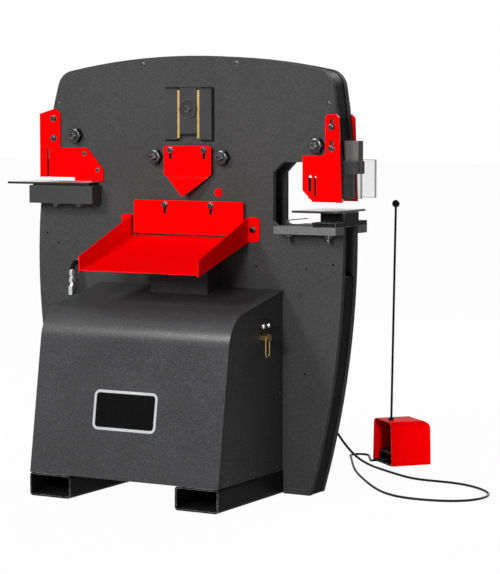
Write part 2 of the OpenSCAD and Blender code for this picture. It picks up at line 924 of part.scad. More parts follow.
module piston_rod() {
    color("#c8c8cc") {
        translate([0, 0, piston_z]) cylinder(d = barrel_bore - 2 * slip, h = piston_h);
        translate([0, 0, piston_z]) cylinder(d = rod_d, h = ram_bottom_z - piston_z);
    }
}

// Shear blades

module angle_chevron() {
    difference() {
        angle_square(angle_side + 2 * blade_w);
        angle_square(angle_side);
    }
}

module half_plane(up) {
    translate([-ram_w, up ? angle_z : angle_z - ram_w]) square([2 * ram_w, ram_w]);
}

module lower_blades() {
    color("#8d8d90") {
        slab(gap_half, pad_t - run) intersection() {
            angle_chevron();
            half_plane(false);
        }
        slab(gap_half, pad_t - run) translate([-bar_w / 2, bar_z - blade_w]) square([bar_w, blade_w]);
    }
}

module upper_blade_shapes() {
    intersection() {
        angle_chevron();
        half_plane(true);
    }
    translate([-bar_w / 2, bar_z + bar_h]) square([bar_w, blade_w]);
}

module upper_blades() {
    color("#8d8d90") slab(ram_half, blade_t) upper_blade_shapes();
    color("#8d8d90") slab(notch_punch_t / 2, notch_punch_t)
        translate([-notch_x - notch_punch_w / 2, notch_end_z - notch_punch_h])
            square([notch_punch_w, notch_punch_h]);
}

// Ram: a deep middle with an arm to each side station
module ram_outline() {
    arm_z = throat_top_z + arm_rise;
    waist_z = angle_z - angle_side * shoulder_share;
    half = ram_w / 2;
    end_top = notch_end_z + notch_end_h;
    end_x0 = -notch_x - notch_w / 2;
    end_x1 = -notch_x + notch_w / 2;
    arm_w = arm_z - waist_z;
    polygon([
        [-half, ram_bottom_z], [half, ram_bottom_z], [half, waist_z], [half + arm_w, arm_z],
        [nose_x0, arm_z], [nose_x0, nose_z], [nose_x1, nose_z], [nose_x1, nose_z + nose_h],
        [nose_x0, nose_z + nose_h], [half, ram_top_z], [-half, ram_top_z], [end_x1, end_top],
        [end_x0, end_top], [end_x0, notch_end_z], [end_x1, notch_end_z], [end_x1, arm_z],
        [-half - arm_w, arm_z], [-half, waist_z]
    ]);
}

module ram_beam() {
    color("#4b4b4d") difference() {
        slab(ram_half, 2 * ram_half) difference() {
            ram_outline();
            angle_square(angle_side + 2 * ram_open);
            translate([-bar_w / 2 - ram_open, bar_z - stroke - ram_open])
                square([bar_w + 2 * ram_open, bar_h + stroke + 2 * ram_open]);
        }
        slab(ram_half + cut, blade_t + cut) upper_blade_shapes();
        both_faces() box([reach_right - tongue_inset, nose_x1 + cut], [-face, -nose_half], [0, frame_h]);
        rod_y(0, pin_z, pin_d + 2 * slip, -face, face);
    }
}

module slide_blocks() {
    color("#48484a") both_faces() difference() {
        front_slab(-pocket_d + run, slide_t) translate([-slide_w / 2, slide_z]) difference() {
            square([slide_w, slide_h]);
            for (x = [0, slide_w]) translate([x, slide_h]) rotate(45)
                square(slide_chamfer, center = true);
        }
        rod_y(0, pin_z, pin_d + 2 * slip, -pin_reach - cut, 0);
    }
}

module ram_pin() {
    color("#515153") {
        rod_y(0, pin_z, pin_d, -pin_reach, pin_reach);
        both_faces() {
            rod_y(0, pin_z, cap_d, -pin_reach - cap_t, -pin_reach);
            hex_y(0, pin_z, cap_bolt_af, -pin_reach - cap_t - cap_bolt_h, -pin_reach - cap_t);
        }
    }
}

// Punching station

table_z = punch_jaw_z + die_flange_h + die_block_h;
support_y = face + support_reach;
die_x1 = punch_x + die_block_w / 2;

module die_block() {
    color("#1d1d1e") difference() {
        union() {
            box([punch_x - die_block_w / 2, die_x1], [-support_y, support_y],
                [punch_jaw_z, punch_jaw_z + die_flange_h]);
            box([punch_x - die_block_w / 2, die_x1], [-face, face], [punch_jaw_z, table_z]);
        }
        translate([punch_x, 0, table_z + table_t - die_h]) cylinder(d = die_d + 2 * fit, h = die_h);
        translate([punch_x, 0, punch_jaw_z - cut]) cylinder(d = slug_d, h = table_z);
    }
}

module punch_die() {
    color("#9a9a9d") translate([punch_x, 0, table_z + table_t - die_h]) difference() {
        cylinder(d = die_d, h = die_h);
        translate([0, 0, -cut]) cylinder(d = punch_d + 2 * run, h = die_h + 2 * cut);
    }
}

module punch_table() {
    color("#8f8f92") difference() {
        box([die_x1 - table_end_inset - punch_table_w, die_x1 - table_end_inset],
            [-table_depth / 2, table_depth / 2], [table_z, table_z + table_t]);
        translate([punch_x, 0, table_z - cut]) cylinder(d = die_d + 2 * fit, h = table_t + 2 * cut);
    }
}

module punch_bolsters() {
    color("#4a4a4c") both_faces()
        box([die_x1 - bolster_w, die_x1], [-support_y, -face], [punch_jaw_z - bolster_h, punch_jaw_z]);
}

holder_top_z = nose_z - holder_block_h;

module punch_holder() {
    color("#2c2c2e") {
        box([nose_x1 - holder_w, nose_x1], [-holder_half, holder_half], [holder_top_z, nose_z]);
        translate([punch_x, 0, holder_top_z - holder_h]) difference() {
            cylinder(d = holder_d, h = holder_h);
            translate([0, 0, -cut]) cylinder(d = punch_shank_d + 2 * fit, h = holder_h + cut);
        }
    }
}

module punch() {
    color("#9a9a9d") translate([punch_x, 0, holder_top_z - punch_l]) {
        cylinder(d = punch_d, h = punch_l - holder_h);
        translate([0, 0, punch_l - holder_h]) cylinder(d = punch_shank_d, h = holder_h);
    }
}

module gauge_rod() {
    color("#1d1d1e")
        rod_y(punch_throat_x - gauge_in, punch_jaw_z + gauge_rise, gauge_d, face, face + gauge_l);
}

// Notching station

module notch_table() {
    margin = notch_w / 2 + notch_die_margin;
    color("#8f8f92") difference() {
        box([notch_table_x - notch_table_w, notch_table_x], [-table_depth / 2, table_depth / 2],
            [notch_jaw_z, notch_jaw_z + table_t]);
        box([-notch_x - margin - fit, -notch_x + margin + fit], [-gap_half, gap_half],
            [notch_jaw_z - cut, notch_jaw_z + table_t + cut]);
        box([-notch_throat_x - throat_r - run, 0], [-face - run, face + run],
            [notch_jaw_z - cut, notch_jaw_z + table_t + cut]);
    }
}

module notch_die() {
    margin = notch_w / 2 + notch_die_margin;
    half_w = notch_punch_w / 2 + notch_slide_gap;
    half_t = notch_punch_t / 2 + notch_slide_gap;
    color("#9a9a9d") difference() {
        box([-notch_x - margin, -notch_x + margin], [-gap_half + fit, gap_half - fit],
            [notch_jaw_z - notch_die_h, notch_jaw_z + table_t]);
        box([-notch_x - half_w, -notch_x + half_w], [-half_t, half_t], [0, frame_h]);
    }
}

module notch_blocks() {
    z1 = notch_jaw_z - riser_h;
    color("#3d3d3f") both_faces() {
        box([notch_block_x - notch_block_w, notch_block_x], [-support_y, -face],
            [notch_jaw_z - notch_block_h, z1]);
        box([notch_block_x - notch_block_w + riser_inset, notch_table_x],
            [-support_y + riser_inset, -face], [z1, notch_jaw_z]);
    }
}

module table_bolt(x, z, stud) {
    for (y = [-1, 1]) translate([x, y * (face + support_reach / 2), z - table_nut_h]) {
        cylinder(d = table_bolt_af / cos(30), h = table_nut_h, $fn = 6);
        translate([0, 0, -stud]) cylinder(d = table_stud_d, h = stud + table_nut_h);
    }
}

module table_bolts() {
    color("#4c4c4e") {
        for (s = notch_bolt_shares)
            table_bolt(notch_block_x - notch_block_w * s, notch_jaw_z - notch_block_h, 0);
        for (s = punch_bolt_shares) table_bolt(die_x1 - bolster_w * s, punch_jaw_z - bolster_h, table_stud_l);
    }
}

module notch_guard_outline() {
    w = notch_guard_w;
    h = notch_guard_h;
    difference() {
        polygon([
            [0, notch_lift_h], [notch_lift_w, notch_lift_h], [notch_lift_w, 0], [w, 0],
            [w, notch_shelf_h - notch_corner_h], [w - notch_corner_w, notch_shelf_h],
            [notch_neck_w, notch_shelf_h], [notch_neck_w, h - notch_peak_back], [notch_peak_w, h],
            [0, h - notch_peak_h]
        ]);
        translate([notch_slit_x, 0]) square([notch_slit_w, notch_slit_h]);
        for (p = notch_big_places) translate(p) circle(d = big_shank + 2 * fit);
        for (p = notch_small_places) translate(p) circle(d = small_shank + 2 * fit);
    }
}

// Front and rear guards, joined by an end plate across the frame
module notch_guards() {
    color("#e60d0d") {
        both_faces() front_slab(0, guard_t)
            translate([notch_guard_x, notch_guard_z]) notch_guard_outline();
        box([notch_guard_x, notch_guard_x + guard_t], [-face - guard_t, face + guard_t],
            [notch_guard_z + notch_lift_h, notch_guard_z + notch_guard_h - notch_peak_h]);
    }
}

// Guards of the punch and the shears

module punch_guard_outline() {
    w = punch_guard_w;
    h = punch_guard_h;
    difference() {
        polygon([
            [punch_guard_corner, 0], [w, 0], [w - punch_guard_taper, h - punch_guard_r],
            [w - punch_guard_taper - punch_guard_r, h], [punch_guard_neck + punch_guard_r, h],
            [punch_guard_neck, h - punch_guard_r],
            [punch_guard_neck, punch_guard_shelf + punch_guard_r],
            [punch_guard_neck - punch_guard_r, punch_guard_shelf], [0, punch_guard_shelf],
            [0, punch_guard_corner]
        ]);
        for (z = punch_slot_zs) slot(punch_slot_x, z, z + punch_guard_travel, big_shank + 2 * run);
        for (s = sight_slots) slot(s[0], s[1] + s[3] / 2, s[1] + s[2] - s[3] / 2, s[3]);
        for (z = shield_hole_zs) translate([shield_hole_x, z]) circle(d = shield_hole_d);
    }
}

module punch_guards() {
    color("#e60d0d") both_faces() {
        front_slab(run, guard_t) translate([punch_guard_x, punch_guard_z]) punch_guard_outline();
        for (x = guard_stud_xs)
            rod_y(punch_guard_x + x, punch_guard_z + punch_guard_shelf - guard_stud_drop, guard_stud_d,
                -face - run - guard_t - guard_stud_h, -face - run - guard_t);
    }
}

// Clear shield with a step that passes under the upper jaw
module punch_shields() {
    step_x = reach_right - punch_guard_x;
    top = throat_top_z - punch_guard_z - run;
    color([0.9, 0.93, 0.95, 0.35]) both_faces() front_slab(run - shield_t, shield_t)
        translate([punch_guard_x, punch_guard_z]) difference() {
            polygon([
                [shield_x, shield_z], [shield_x + shield_l, shield_z],
                [shield_x + shield_l, shield_z + shield_h], [step_x, shield_z + shield_h],
                [step_x, top - cut], [shield_x, top - cut]
            ]);
            for (z = shield_hole_zs) translate([shield_hole_x, z]) circle(d = shield_hole_d);
        }
}

// Side view of one face of the angle guard, from the middle of its bend: flat top, bend and tip
function bent_face(r) = concat(
    [[r, angle_guard_h]],
    [for (i = [0 : bend_steps]) let (a = angle_tip_bend * i / bend_steps) r * [cos(a), -sin(a)]],
    [r * [cos(angle_tip_bend), -sin(angle_tip_bend)] - angle_tip_l * [sin(angle_tip_bend), cos(angle_tip_bend)]]
);

// Front view of the angle guard: round corners and a blunt tip
module angle_outline() {
    low = angle_guard_z - angle_guard_h;
    half = angle_guard_w / 2;
    corner = [half, low];
    tip = [0, low - angle_tip_l * cos(angle_tip_bend) + angle_tip_r];
    d = norm(corner - tip);
    t = meet(tip, angle_tip_r, corner, sqrt(d * d - angle_tip_r * angle_tip_r), -1) - tip;
    start = atan2(t[1], t[0]);
    blunt = [for (i = [0 : bend_steps]) let (a = start - (180 + 2 * start) * i / bend_steps)
        tip + angle_tip_r * [cos(a), sin(a)]];
    shoulder = [for (i = [0 : bend_steps]) let (a = 90 * i / bend_steps)
        [half - guard_r, angle_guard_z - guard_r] + guard_r * [sin(a), cos(a)]];
    other = [for (i = [bend_steps : -1 : 0]) [-shoulder[i][0], shoulder[i][1]]];
    difference() {
        polygon(concat([[-half, low]], other, shoulder, [corner], blunt));
        for (p = angle_big) slot(p[0], p[1] - shear_guard_travel, p[1], big_shank + 2 * run);
    }
}

module angle_guard() {
    bend_y = -face - angle_lift - guard_t - angle_bend_r;
    back = bent_face(angle_bend_r + guard_t);
    front = bent_face(angle_bend_r);
    color("#e60d0d") intersection() {
        translate([0, bend_y, angle_guard_z - angle_guard_h]) along_x(-angle_guard_w, angle_guard_w)
            polygon(concat(back, [for (i = [len(front) - 1 : -1 : 0]) front[i]]));
        slab(0, face + angle_guard_w) angle_outline();
    }
}

module bar_guard() {
    color("#e60d0d") slab(-face - shear_lift, guard_t) difference() {
        translate([-bar_guard_w / 2, bar_guard_z]) round_rect(bar_guard_w, bar_guard_h, guard_t);
        for (p = bar_big) slot(p[0], p[1] - shear_guard_travel, p[1], big_shank + 2 * run);
    }
}

module port_plug() {
    color("#e60d0d") {
        rod_y(plug_x, plug_z, plug_stem_d, -face, -face + shank_in);
        translate([plug_x, -face, plug_z]) rotate([90, 0, 0])
            cylinder(d1 = plug_d, d2 = plug_d - plug_h, h = plug_h);
    }
}

// Tray: sloped floor, two walls that run out into ears against the plate
module drop_tray() {
    drop = tray_reach * tan(tray_slope);
    front_y = -face - tray_reach;
    ear_x = tray_w / 2 + tray_t;
    color("#e60d0d") {
        translate([-tray_w / 2 - cut, 0, 0]) rotate([90, 0, 90]) linear_extrude(tray_w + 2 * cut)
            polygon([
                [-face, tray_z], [front_y, tray_z - drop],
                [front_y, tray_z - drop - tray_t], [-face, tray_z - tray_t]
            ]);
        for (s = [0, 1]) mirror([s, 0, 0]) {
            translate([tray_w / 2, 0, 0]) rotate([90, 0, 90]) linear_extrude(tray_t)
                polygon([
                    [-face, tray_z - ear_low], [-face, tray_z + tray_wall_rear],
                    [front_y, tray_z - drop + tray_wall_front],
                    [front_y, tray_z - drop - tray_t - tray_lip]
                ]);
            difference() {
                front_slab(0, tray_t) translate([ear_x - ear_r, tray_z - ear_low]) difference() {
                    round_rect(ear_w + ear_r, ear_h, ear_r);
                    square([ear_r, ear_h]);
                }
                for (p = tray_big) rod_y(p[0], p[1], big_shank + 2 * fit, -face - tray_t - cut, 0);
            }
        }
    }
}

function cab_top(y) = cab_z + (y + face) * tan(cab_slope);

module tray_support() {
    y0 = -face - support_reach_y;
    x1 = support_x + support_w;
    under = tray_z - tray_t - support_reach_y * tan(tray_slope) - fit;
    low = cab_top(y0) - support_low;
    rear_z = under + support_reach_y * tan(tray_slope);
    module side(x) {
        translate([x, 0, 0]) rotate([90, 0, 90]) linear_extrude(support_t)
            polygon([[y0, low], [-face, low], [-face, rear_z], [y0, under]]);
    }
    color("#2a2a2b") {
        side(support_x);
        side(x1 - support_t);
        box([support_x, x1], [y0, y0 + support_t], [low, under]);
    }
}

// Cabinet

tan_len = cab_r * tan((90 - cab_lean - cab_slope) / 2);
front_dir = [sin(cab_lean), cos(cab_lean)];
top_dir = [cos(cab_slope), sin(cab_slope)];
front_foot = [-face - tube_front, tube_h];
bend_z = (cab_z + (front_foot[0] - tube_h * tan(cab_lean) + face) * tan(cab_slope))
    / (1 - tan(cab_lean) * tan(cab_slope));
bend_at = [front_foot[0] + (bend_z - tube_h) * tan(cab_lean), bend_z];
bend_c = bend_at - tan_len * front_dir + cab_r * [cos(cab_lean), -sin(cab_lean)];

// Side view of the cabinet in Y and Z, with the bend between front and top
module cab_profile(inset) {
    foot = front_foot + [inset / cos(cab_lean), 0];
    rear = [-face, cab_z - inset / cos(cab_slope)];
    t1 = bend_c + (cab_r - inset) * [-cos(cab_lean), sin(cab_lean)];
    t2 = bend_c + (cab_r - inset) * [-sin(cab_slope), cos(cab_slope)];
    bend = bend_c + (bend_at - bend_c) * (cab_r - inset) / cab_r;
    polygon([foot, t1, bend_c, t2, rear, [-face, tube_h]]);
    intersection() {
        translate(bend_c) circle(cab_r - inset);
        polygon([bend_c, t1, bend, t2]);
    }
}

module along_x(x0, x1) {
    translate([x0, 0, 0]) rotate([90, 0, 90]) linear_extrude(x1 - x0) children();
}

module cabinet_cover() {
    y0 = -face - support_reach_y;
    color("#3a3a3c") difference() {
        along_x(-cab_w / 2, cab_w / 2) difference() {
            cab_profile(0);
            cab_profile(cab_t);
        }
        box([support_x - run, support_x + support_w + run], [y0 - run, 0], [0, frame_h]);
    }
}

module cabinet_sides() {
    color("#232324") difference() {
        union() for (s = [0, 1]) mirror([s, 0, 0])
            along_x(side_x - cab_t, side_x) cab_profile(cab_t + fit);
        translate([-side_x - cut, hose_y, hose_low_z - hose_bend]) rotate([0, 90, 0])
            cylinder(d = hose_d + 2 * fit, h = 2 * cab_t + cut);
        for (s = [-1, 1]) translate([0, control_y + s * button_pitch / 2, control_z]) rotate([0, 90, 0])
            cylinder(d = button_d + 2 * run, h = cab_w);
    }
}

module cabinet_screws() {
    rows = [front_foot[0] + 4 * screw_inset, (front_foot[0] - face) / 2, -face - 2 * screw_inset];
    color("#4c4c4e") for (s = [0, 1]) mirror([s, 0, 0]) {
        for (y = rows) translate([side_x, y, tube_h + screw_inset]) rotate([0, 90, 0])
            cylinder(d1 = screw_d, d2 = screw_d - screw_h, h = screw_h);
        translate([side_x, -face - screw_inset, cab_z / 2]) rotate([0, 90, 0])
            cylinder(d1 = screw_d, d2 = screw_d - screw_h, h = screw_h);
    }
}

module reservoir() {
    y1 = -face - tank_gap;
    x0 = tank_inset - side_x;
    h = (cab_top(y1 - tank_depth) - tube_h) * tank_h_share;
    color("#2f3133") box([x0, x0 + cab_w * tank_w_share], [y1 - tank_depth, y1], [tube_h, tube_h + h]);
}

module motor() {
    axis_z = tube_h + motor_foot_h + motor_d / 2;
    y = -face - tank_gap - motor_d / 2;
    motor_l = cab_w * motor_l_share;
    motor_x = side_x - motor_inset - motor_l;
    color("#33373b") {
        translate([motor_x, y, axis_z]) rotate([0, 90, 0]) cylinder(d = motor_d, h = motor_l);
        box([motor_x, motor_x + motor_l], [y - motor_d / 4, y + motor_d / 4], [tube_h, axis_z]);
    }
}

// Controls on the right side of the cabinet

module control_plate() {
    color("#161617") difference() {
        union() {
            box([side_x, side_x + control_t],
                [control_y - control_w / 2, control_y + control_w / 2],
                [control_z - control_h / 2, control_z + control_h / 2]);
            for (s = [-1, 1]) translate([side_x, control_y + s * button_pitch / 2, control_z])
                rotate([0, 90, 0]) cylinder(d = bezel_d, h = control_t + bezel_h);
        }
        for (s = [-1, 1]) translate([0, control_y + s * button_pitch / 2, control_z]) rotate([0, 90, 0])
            cylinder(d = button_d + 2 * run, h = cab_w);
    }
}

module push_button(s) {
    x1 = side_x + control_t + bezel_h;
    translate([x1 - 2 * bezel_h - control_t, control_y + s * button_pitch / 2, control_z])
        rotate([0, 90, 0]) {
            cylinder(d = button_d, h = 2 * bezel_h + control_t + button_travel);
            translate([0, 0, 2 * bezel_h + control_t + button_travel])
                cylinder(d1 = button_d, d2 = button_d - button_travel, h = button_h - button_travel);
        }
}

module start_button() {
    color("#d8d8d8") push_button(-1);
}

module stop_button() {
    color("#d8d8d8") push_button(1);
}

module quick_coupler() {
    loop_x = side_x + coupler_hex_h + coupler_groove / 2;
    color("#b98a45") translate([side_x, coupler_y, coupler_z]) {
        rotate([0, 90, 0]) {
            cylinder(d = coupler_af / cos(30), h = coupler_hex_h, $fn = 6);
            cylinder(d = coupler_d - 2 * coupler_groove, h = coupler_hex_h + coupler_groove + coupler_l);
            translate([0, 0, coupler_hex_h + coupler_groove]) cylinder(d = coupler_d, h = coupler_l);
        }
    }
    color("#cba35c") translate([loop_x, coupler_y, coupler_z]) {
        for (s = [-1, 1]) translate([0, s * loop_w / 2, -loop_l + loop_w / 2])
            cylinder(d = loop_d, h = loop_l - loop_w / 2);
        translate([0, 0, -loop_l + loop_w / 2]) rotate([0, 90, 0]) rotate([0, 0, -90])
            rotate_extrude(angle = 180) translate([loop_w / 2, 0]) circle(d = loop_d);
        translate([0, -loop_w / 2, 0]) rotate([-90, 0, 0]) cylinder(d = loop_d, h = loop_w);
    }
}

// Hose and fittings left of the cabinet

hose_y = -face - hose_out;
fit_top_z = fit_low_z + 2 * fit_hex_h + ferrule_h;

module hydraulic_hose() {
    color("#161617") {
        translate([hose_x, hose_y, hose_low_z]) cylinder(d = hose_d, h = fit_low_z - hose_low_z);
        translate([hose_x + hose_bend, hose_y, hose_low_z]) rotate([-90, 0, 0])
            rotate([0, 0, 90]) rotate_extrude(angle = 90) translate([hose_bend, 0]) circle(d = hose_d);
        translate([hose_x + hose_bend, hose_y, hose_low_z - hose_bend]) rotate([0, 90, 0])
            cylinder(d = hose_d, h = -side_x - hose_x - hose_bend + cab_t);
        translate([hose_x, hose_y + elbow_r, fit_top_z]) rotate([0, -90, 0]) rotate([0, 0, -90])
            rotate_extrude(angle = 90) translate([elbow_r, 0]) circle(d = elbow_d);
        translate([hose_x, -face, fit_top_z + elbow_r]) rotate([90, 0, 0])
            cylinder(d = elbow_d, h = hose_out - elbow_r);
    }
}

module hose_fittings() {
    color("#b9bbbd") translate([hose_x, hose_y, fit_low_z]) {
        cylinder(d = fit_hex_af / cos(30), h = fit_hex_h, $fn = 6);
        translate([0, 0, fit_hex_h]) cylinder(d = ferrule_d, h = ferrule_h);
        translate([0, 0, fit_hex_h + ferrule_h]) cylinder(d = fit_hex_af / cos(30), h = fit_hex_h, $fn = 6);
    }
}

// Pedal

module at_pedal() {
    translate(pedal_at) rotate([0, 0, pedal_turn]) children();
}

// Hood of the pedal: side view crossed with front view
module pedal_hood(inset, front) {
    half = pedal_w / 2 - inset;
    top = pedal_h - inset;
    r = pedal_r - inset / 2;
    intersection() {
        translate([0, pedal_w, 0]) rotate([90, 0, 0]) linear_extrude(2 * pedal_w) {
            translate([-front, 0]) square([pedal_l - inset - pedal_back_r + front, top]);
            translate([-front, 0]) square([pedal_l - inset + front, top - pedal_back_r]);
            translate([pedal_l - inset - pedal_back_r, top - pedal_back_r]) circle(pedal_back_r);
        }
        translate([-front, 0, 0]) rotate([90, 0, 90]) linear_extrude(2 * pedal_l) {
            polygon([
                [-half, 0], [half, 0], [half, base_t], [half - pedal_draft, top - r],
                [pedal_draft - half, top - r], [-half, base_t]
            ]);
            translate([-half + pedal_draft + r, top - 2 * r])
                square([2 * (half - pedal_draft - r), 2 * r]);
            for (s = [-1, 1]) translate([s * (half - pedal_draft - r), top - r]) circle(r);
        }
    }
}

module pedal_floor() {
    translate([-cut, pedal_wall - pedal_w / 2, 0])
        cube([pedal_l - pedal_wall + cut, pedal_w - 2 * pedal_wall, base_t]);
}

module pedal_shield() {
    color("#e60d0d") at_pedal() difference() {
        pedal_hood(0, 0);
        translate([0, 0, -cut]) pedal_floor();
        pedal_hood(pedal_wall, cut);
        translate([carry_x, carry_y, 0]) cylinder(d = carry_d + 2 * fit, h = 2 * pedal_h);
    }
}

module pedal_base() {
    half = treadle_w / 2 + lug_gap;
    color("#1b1b1c") at_pedal() difference() {
        union() {
            translate([0, pedal_wall - pedal_w / 2, 0])
                cube([pedal_l - pedal_wall, pedal_w - 2 * pedal_wall, base_t]);
            translate([switch_x, -switch_w / 2, 0]) cube([switch_l, switch_w, base_t + switch_h]);
            translate([cord_block_x, cord_in_y - cord_block_w / 2, 0])
                cube([cord_block_l, cord_block_w, cord_block_h]);
            for (s = [0, 1]) mirror([0, s, 0]) translate([treadle_pin_x, half, 0]) {
                translate([-treadle_pin_d, 0, 0]) cube([2 * treadle_pin_d, lug_t, treadle_pin_z]);
                translate([0, lug_t, treadle_pin_z]) rotate([90, 0, 0])
                    cylinder(r = treadle_pin_d, h = lug_t);
            }
        }
        translate([treadle_pin_x, pedal_w, treadle_pin_z]) rotate([90, 0, 0])
            cylinder(d = treadle_pin_d + 2 * slip, h = 2 * pedal_w);
    }
}

module treadle_pin() {
    half = treadle_w / 2 + lug_gap + lug_t;
    color("#8d8d90") at_pedal() translate([treadle_pin_x, half, treadle_pin_z]) rotate([90, 0, 0])
        cylinder(d = treadle_pin_d, h = 2 * half);
}

module pedal_treadle() {
    color("#3a3a3c") at_pedal() translate([treadle_pin_x, 0, treadle_pin_z]) rotate([0, -treadle_rise, 0])
        difference() {
            union() {
                translate([-treadle_pin_d, -treadle_w / 2, treadle_pin_d - treadle_t])
                    cube([treadle_l, treadle_w, treadle_t]);
                translate([0, treadle_w / 2, 0]) rotate([90, 0, 0])
                    cylinder(d = 2 * treadle_pin_d, h = treadle_w);
            }
            translate([0, pedal_w, 0]) rotate([90, 0, 0])
                cylinder(d = treadle_pin_d + 2 * slip, h = 2 * pedal_w);
        }
}

module at_carry() {
    at_pedal() translate([carry_x, carry_y, pedal_h]) rotate([0, 0, -pedal_turn]) rotate([0, carry_lean, 0])
        children();
}

module carry_rod() {
    color("#141415") {
        at_carry() translate([0, 0, -pedal_wall]) cylinder(d = carry_d, h = carry_l + pedal_wall);
        at_pedal() translate([carry_x, carry_y, pedal_h])
            cylinder(d = carry_nut_af / cos(30), h = carry_nut_h, $fn = 6);
    }
}

module ball_knob() {
    color("#101011") at_carry() translate([0, 0, carry_l + knob_d / 4]) difference() {
        sphere(d = knob_d);
        translate([0, 0, -knob_d]) cylinder(d = carry_d + 2 * fit, h = knob_d - knob_d / 4);
    }
}

// Cord

module cord_gland() {
    color("#161617") {
        rod_y(gland_x, gland_z, gland_d, face, face + gland_l / 2);
        translate([gland_x, face + gland_l / 2, gland_z]) rotate([-90, 0, 0])
            cylinder(d1 = gland_d, d2 = gland_tip_d, h = gland_l / 2);
    }
}

// Ring of points round a route point, square to the way the cord runs there
function way(i) =
    let (a = cord_route[max(i - 1, 0)], b = cord_route[min(i + 1, len(cord_route) - 1)])
    (b - a) / norm(b - a);
function ring(i) =
    let (w = way(i), s = cross(w, [0, 0, 1]), u = s / norm(s), v = cross(u, w))
    [for (k = [0 : cord_sides - 1])
        cord_route[i] + cord_d / 2 * (cos(360 * k / cord_sides) * u + sin(360 * k / cord_sides) * v)];

module pedal_cord() {
    n = len(cord_route);
    m = cord_sides;
    points = [for (i = [0 : n - 1], p = ring(i)) p];
    sides = [for (i = [0 : n - 2], k = [0 : m - 1])
        [i * m + k, i * m + (k + 1) % m, (i + 1) * m + (k + 1) % m, (i + 1) * m + k]];
    first = [for (k = [m - 1 : -1 : 0]) k];
    last = [for (k = [0 : m - 1]) (n - 1) * m + k];
    color("#111112") polyhedron(concat(points), concat(sides, [first, last]));
}

front_plate();
rear_plate();
frame_spacers();
cover_bolts();
guard_bolts();
top_cover();
side_covers();
fork_tubes();
guide_bars();
brass_gibs();
gib_screws();
gib_lock_nuts();
wear_pads();
cylinder_barrel();
cylinder_gland();
cylinder_pin();
lower_blades();
notch_die();
punch_die();
die_block();
punch_table();
punch_bolsters();
notch_table();
notch_blocks();
table_bolts();
notch_guards();
drop_tray();
tray_support();
cabinet_cover();
cabinet_sides();
cabinet_screws();
reservoir();
motor();
hydraulic_hose();
hose_fittings();
control_plate();
start_button();
stop_button();
quick_coupler();
port_plug();
gauge_rod();
cord_gland();
pedal_cord();
pedal_base();
pedal_shield();
treadle_pin();
carry_rod();
ball_knob();
ram_beam();
slide_blocks();
ram_pin();
punch_holder();
punch();
upper_blades();
piston_rod();
punch_guards();
punch_shields();
angle_guard();
bar_guard();
pedal_treadle();
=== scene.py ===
import json
import math
import bpy
import numpy as np
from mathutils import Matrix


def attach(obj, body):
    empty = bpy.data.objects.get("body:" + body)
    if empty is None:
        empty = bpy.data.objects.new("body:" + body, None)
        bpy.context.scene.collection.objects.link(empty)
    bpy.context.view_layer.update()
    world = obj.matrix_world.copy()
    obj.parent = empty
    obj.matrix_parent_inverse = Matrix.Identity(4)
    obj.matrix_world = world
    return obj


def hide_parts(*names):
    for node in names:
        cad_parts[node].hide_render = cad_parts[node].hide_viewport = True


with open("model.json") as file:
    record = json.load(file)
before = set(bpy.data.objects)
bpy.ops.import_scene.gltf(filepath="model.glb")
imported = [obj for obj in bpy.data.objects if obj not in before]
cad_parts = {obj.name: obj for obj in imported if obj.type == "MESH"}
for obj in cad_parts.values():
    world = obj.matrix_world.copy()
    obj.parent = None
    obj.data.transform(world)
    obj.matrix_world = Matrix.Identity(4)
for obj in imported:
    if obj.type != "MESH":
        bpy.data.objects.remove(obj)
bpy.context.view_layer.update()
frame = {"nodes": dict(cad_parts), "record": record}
nodes = frame["nodes"]
scene = bpy.context.scene
scene.view_settings.view_transform = "Standard"
perMetre = 1000  # shapes are worked out in millimetres

# camera at the photograph's angle, image taken as 500 x 574
shot = {"place": (3.629, -6.158, 1.243), "turn": 29.13, "down": 4.7, "focalPixels": 2154.6, "imageHigh": 574,
        "sensor": 24}
eye = bpy.data.cameras.new("eye")
eye.sensor_fit = "VERTICAL"
eye.sensor_height = shot["sensor"]
eye.lens = shot["sensor"] * shot["focalPixels"] / shot["imageHigh"]
eyeObject = bpy.data.objects.new("eye", eye)
eyeObject.location = shot["place"]
eyeObject.rotation_euler = (math.radians(90 - shot["down"]), 0, math.radians(shot["turn"]))
scene.collection.objects.link(eyeObject)
scene.camera = eyeObject
print("camera set")


class Sock:
    # a node's output that takes part in sums and products; without an output it only makes nodes
    def __init__(self, tree, out=None):
        self.tree = tree
        self.out = out

    # one new node: its settings first, then its sockets by name or place
    def make(self, kind, sockets, pick=0, **settings):
        node = self.tree.nodes.new(kind)
        for key, value in settings.items():
            setattr(node, key, value)
        for key, value in sockets.items():
            if isinstance(value, Sock):
                self.tree.links.new(value.out, node.inputs[key])
            else:
                node.inputs[key].default_value = value
        return Sock(self.tree, node.outputs[pick])

    def math(self, operation, first, second):
        return self.make("ShaderNodeMath", {0: first, 1: second}, operation=operation)

    def most(self, other):
        return self.math("MAXIMUM", self, other)

    def __add__(self, other):
        return self.math("ADD", self, other)

    def __radd__(self, other):
        return self.math("ADD", other, self)

    def __sub__(self, other):
        return self.math("SUBTRACT", self, other)

    def __rsub__(self, other):
        return self.math("SUBTRACT", other, self)

    def __mul__(self, other):
        return self.math("MULTIPLY", self, other)

    def __rmul__(self, other):
        return self.math("MULTIPLY", other, self)


def band(value, low, high):
    # 0 below low, 1 above high, smooth between
    return value.make("ShaderNodeMapRange", {0: value, 1: low, 2: high, 3: 0.0, 4: 1.0},
                      interpolation_type="SMOOTHSTEP")


def noise(point, size, detail=3.0, rough=0.55):
    # noise whose grains are about size metres across
    return point.make("ShaderNodeTexNoise", {"Vector": point, "Scale": 1.0 / size, "Detail": detail,
                                             "Roughness": rough})


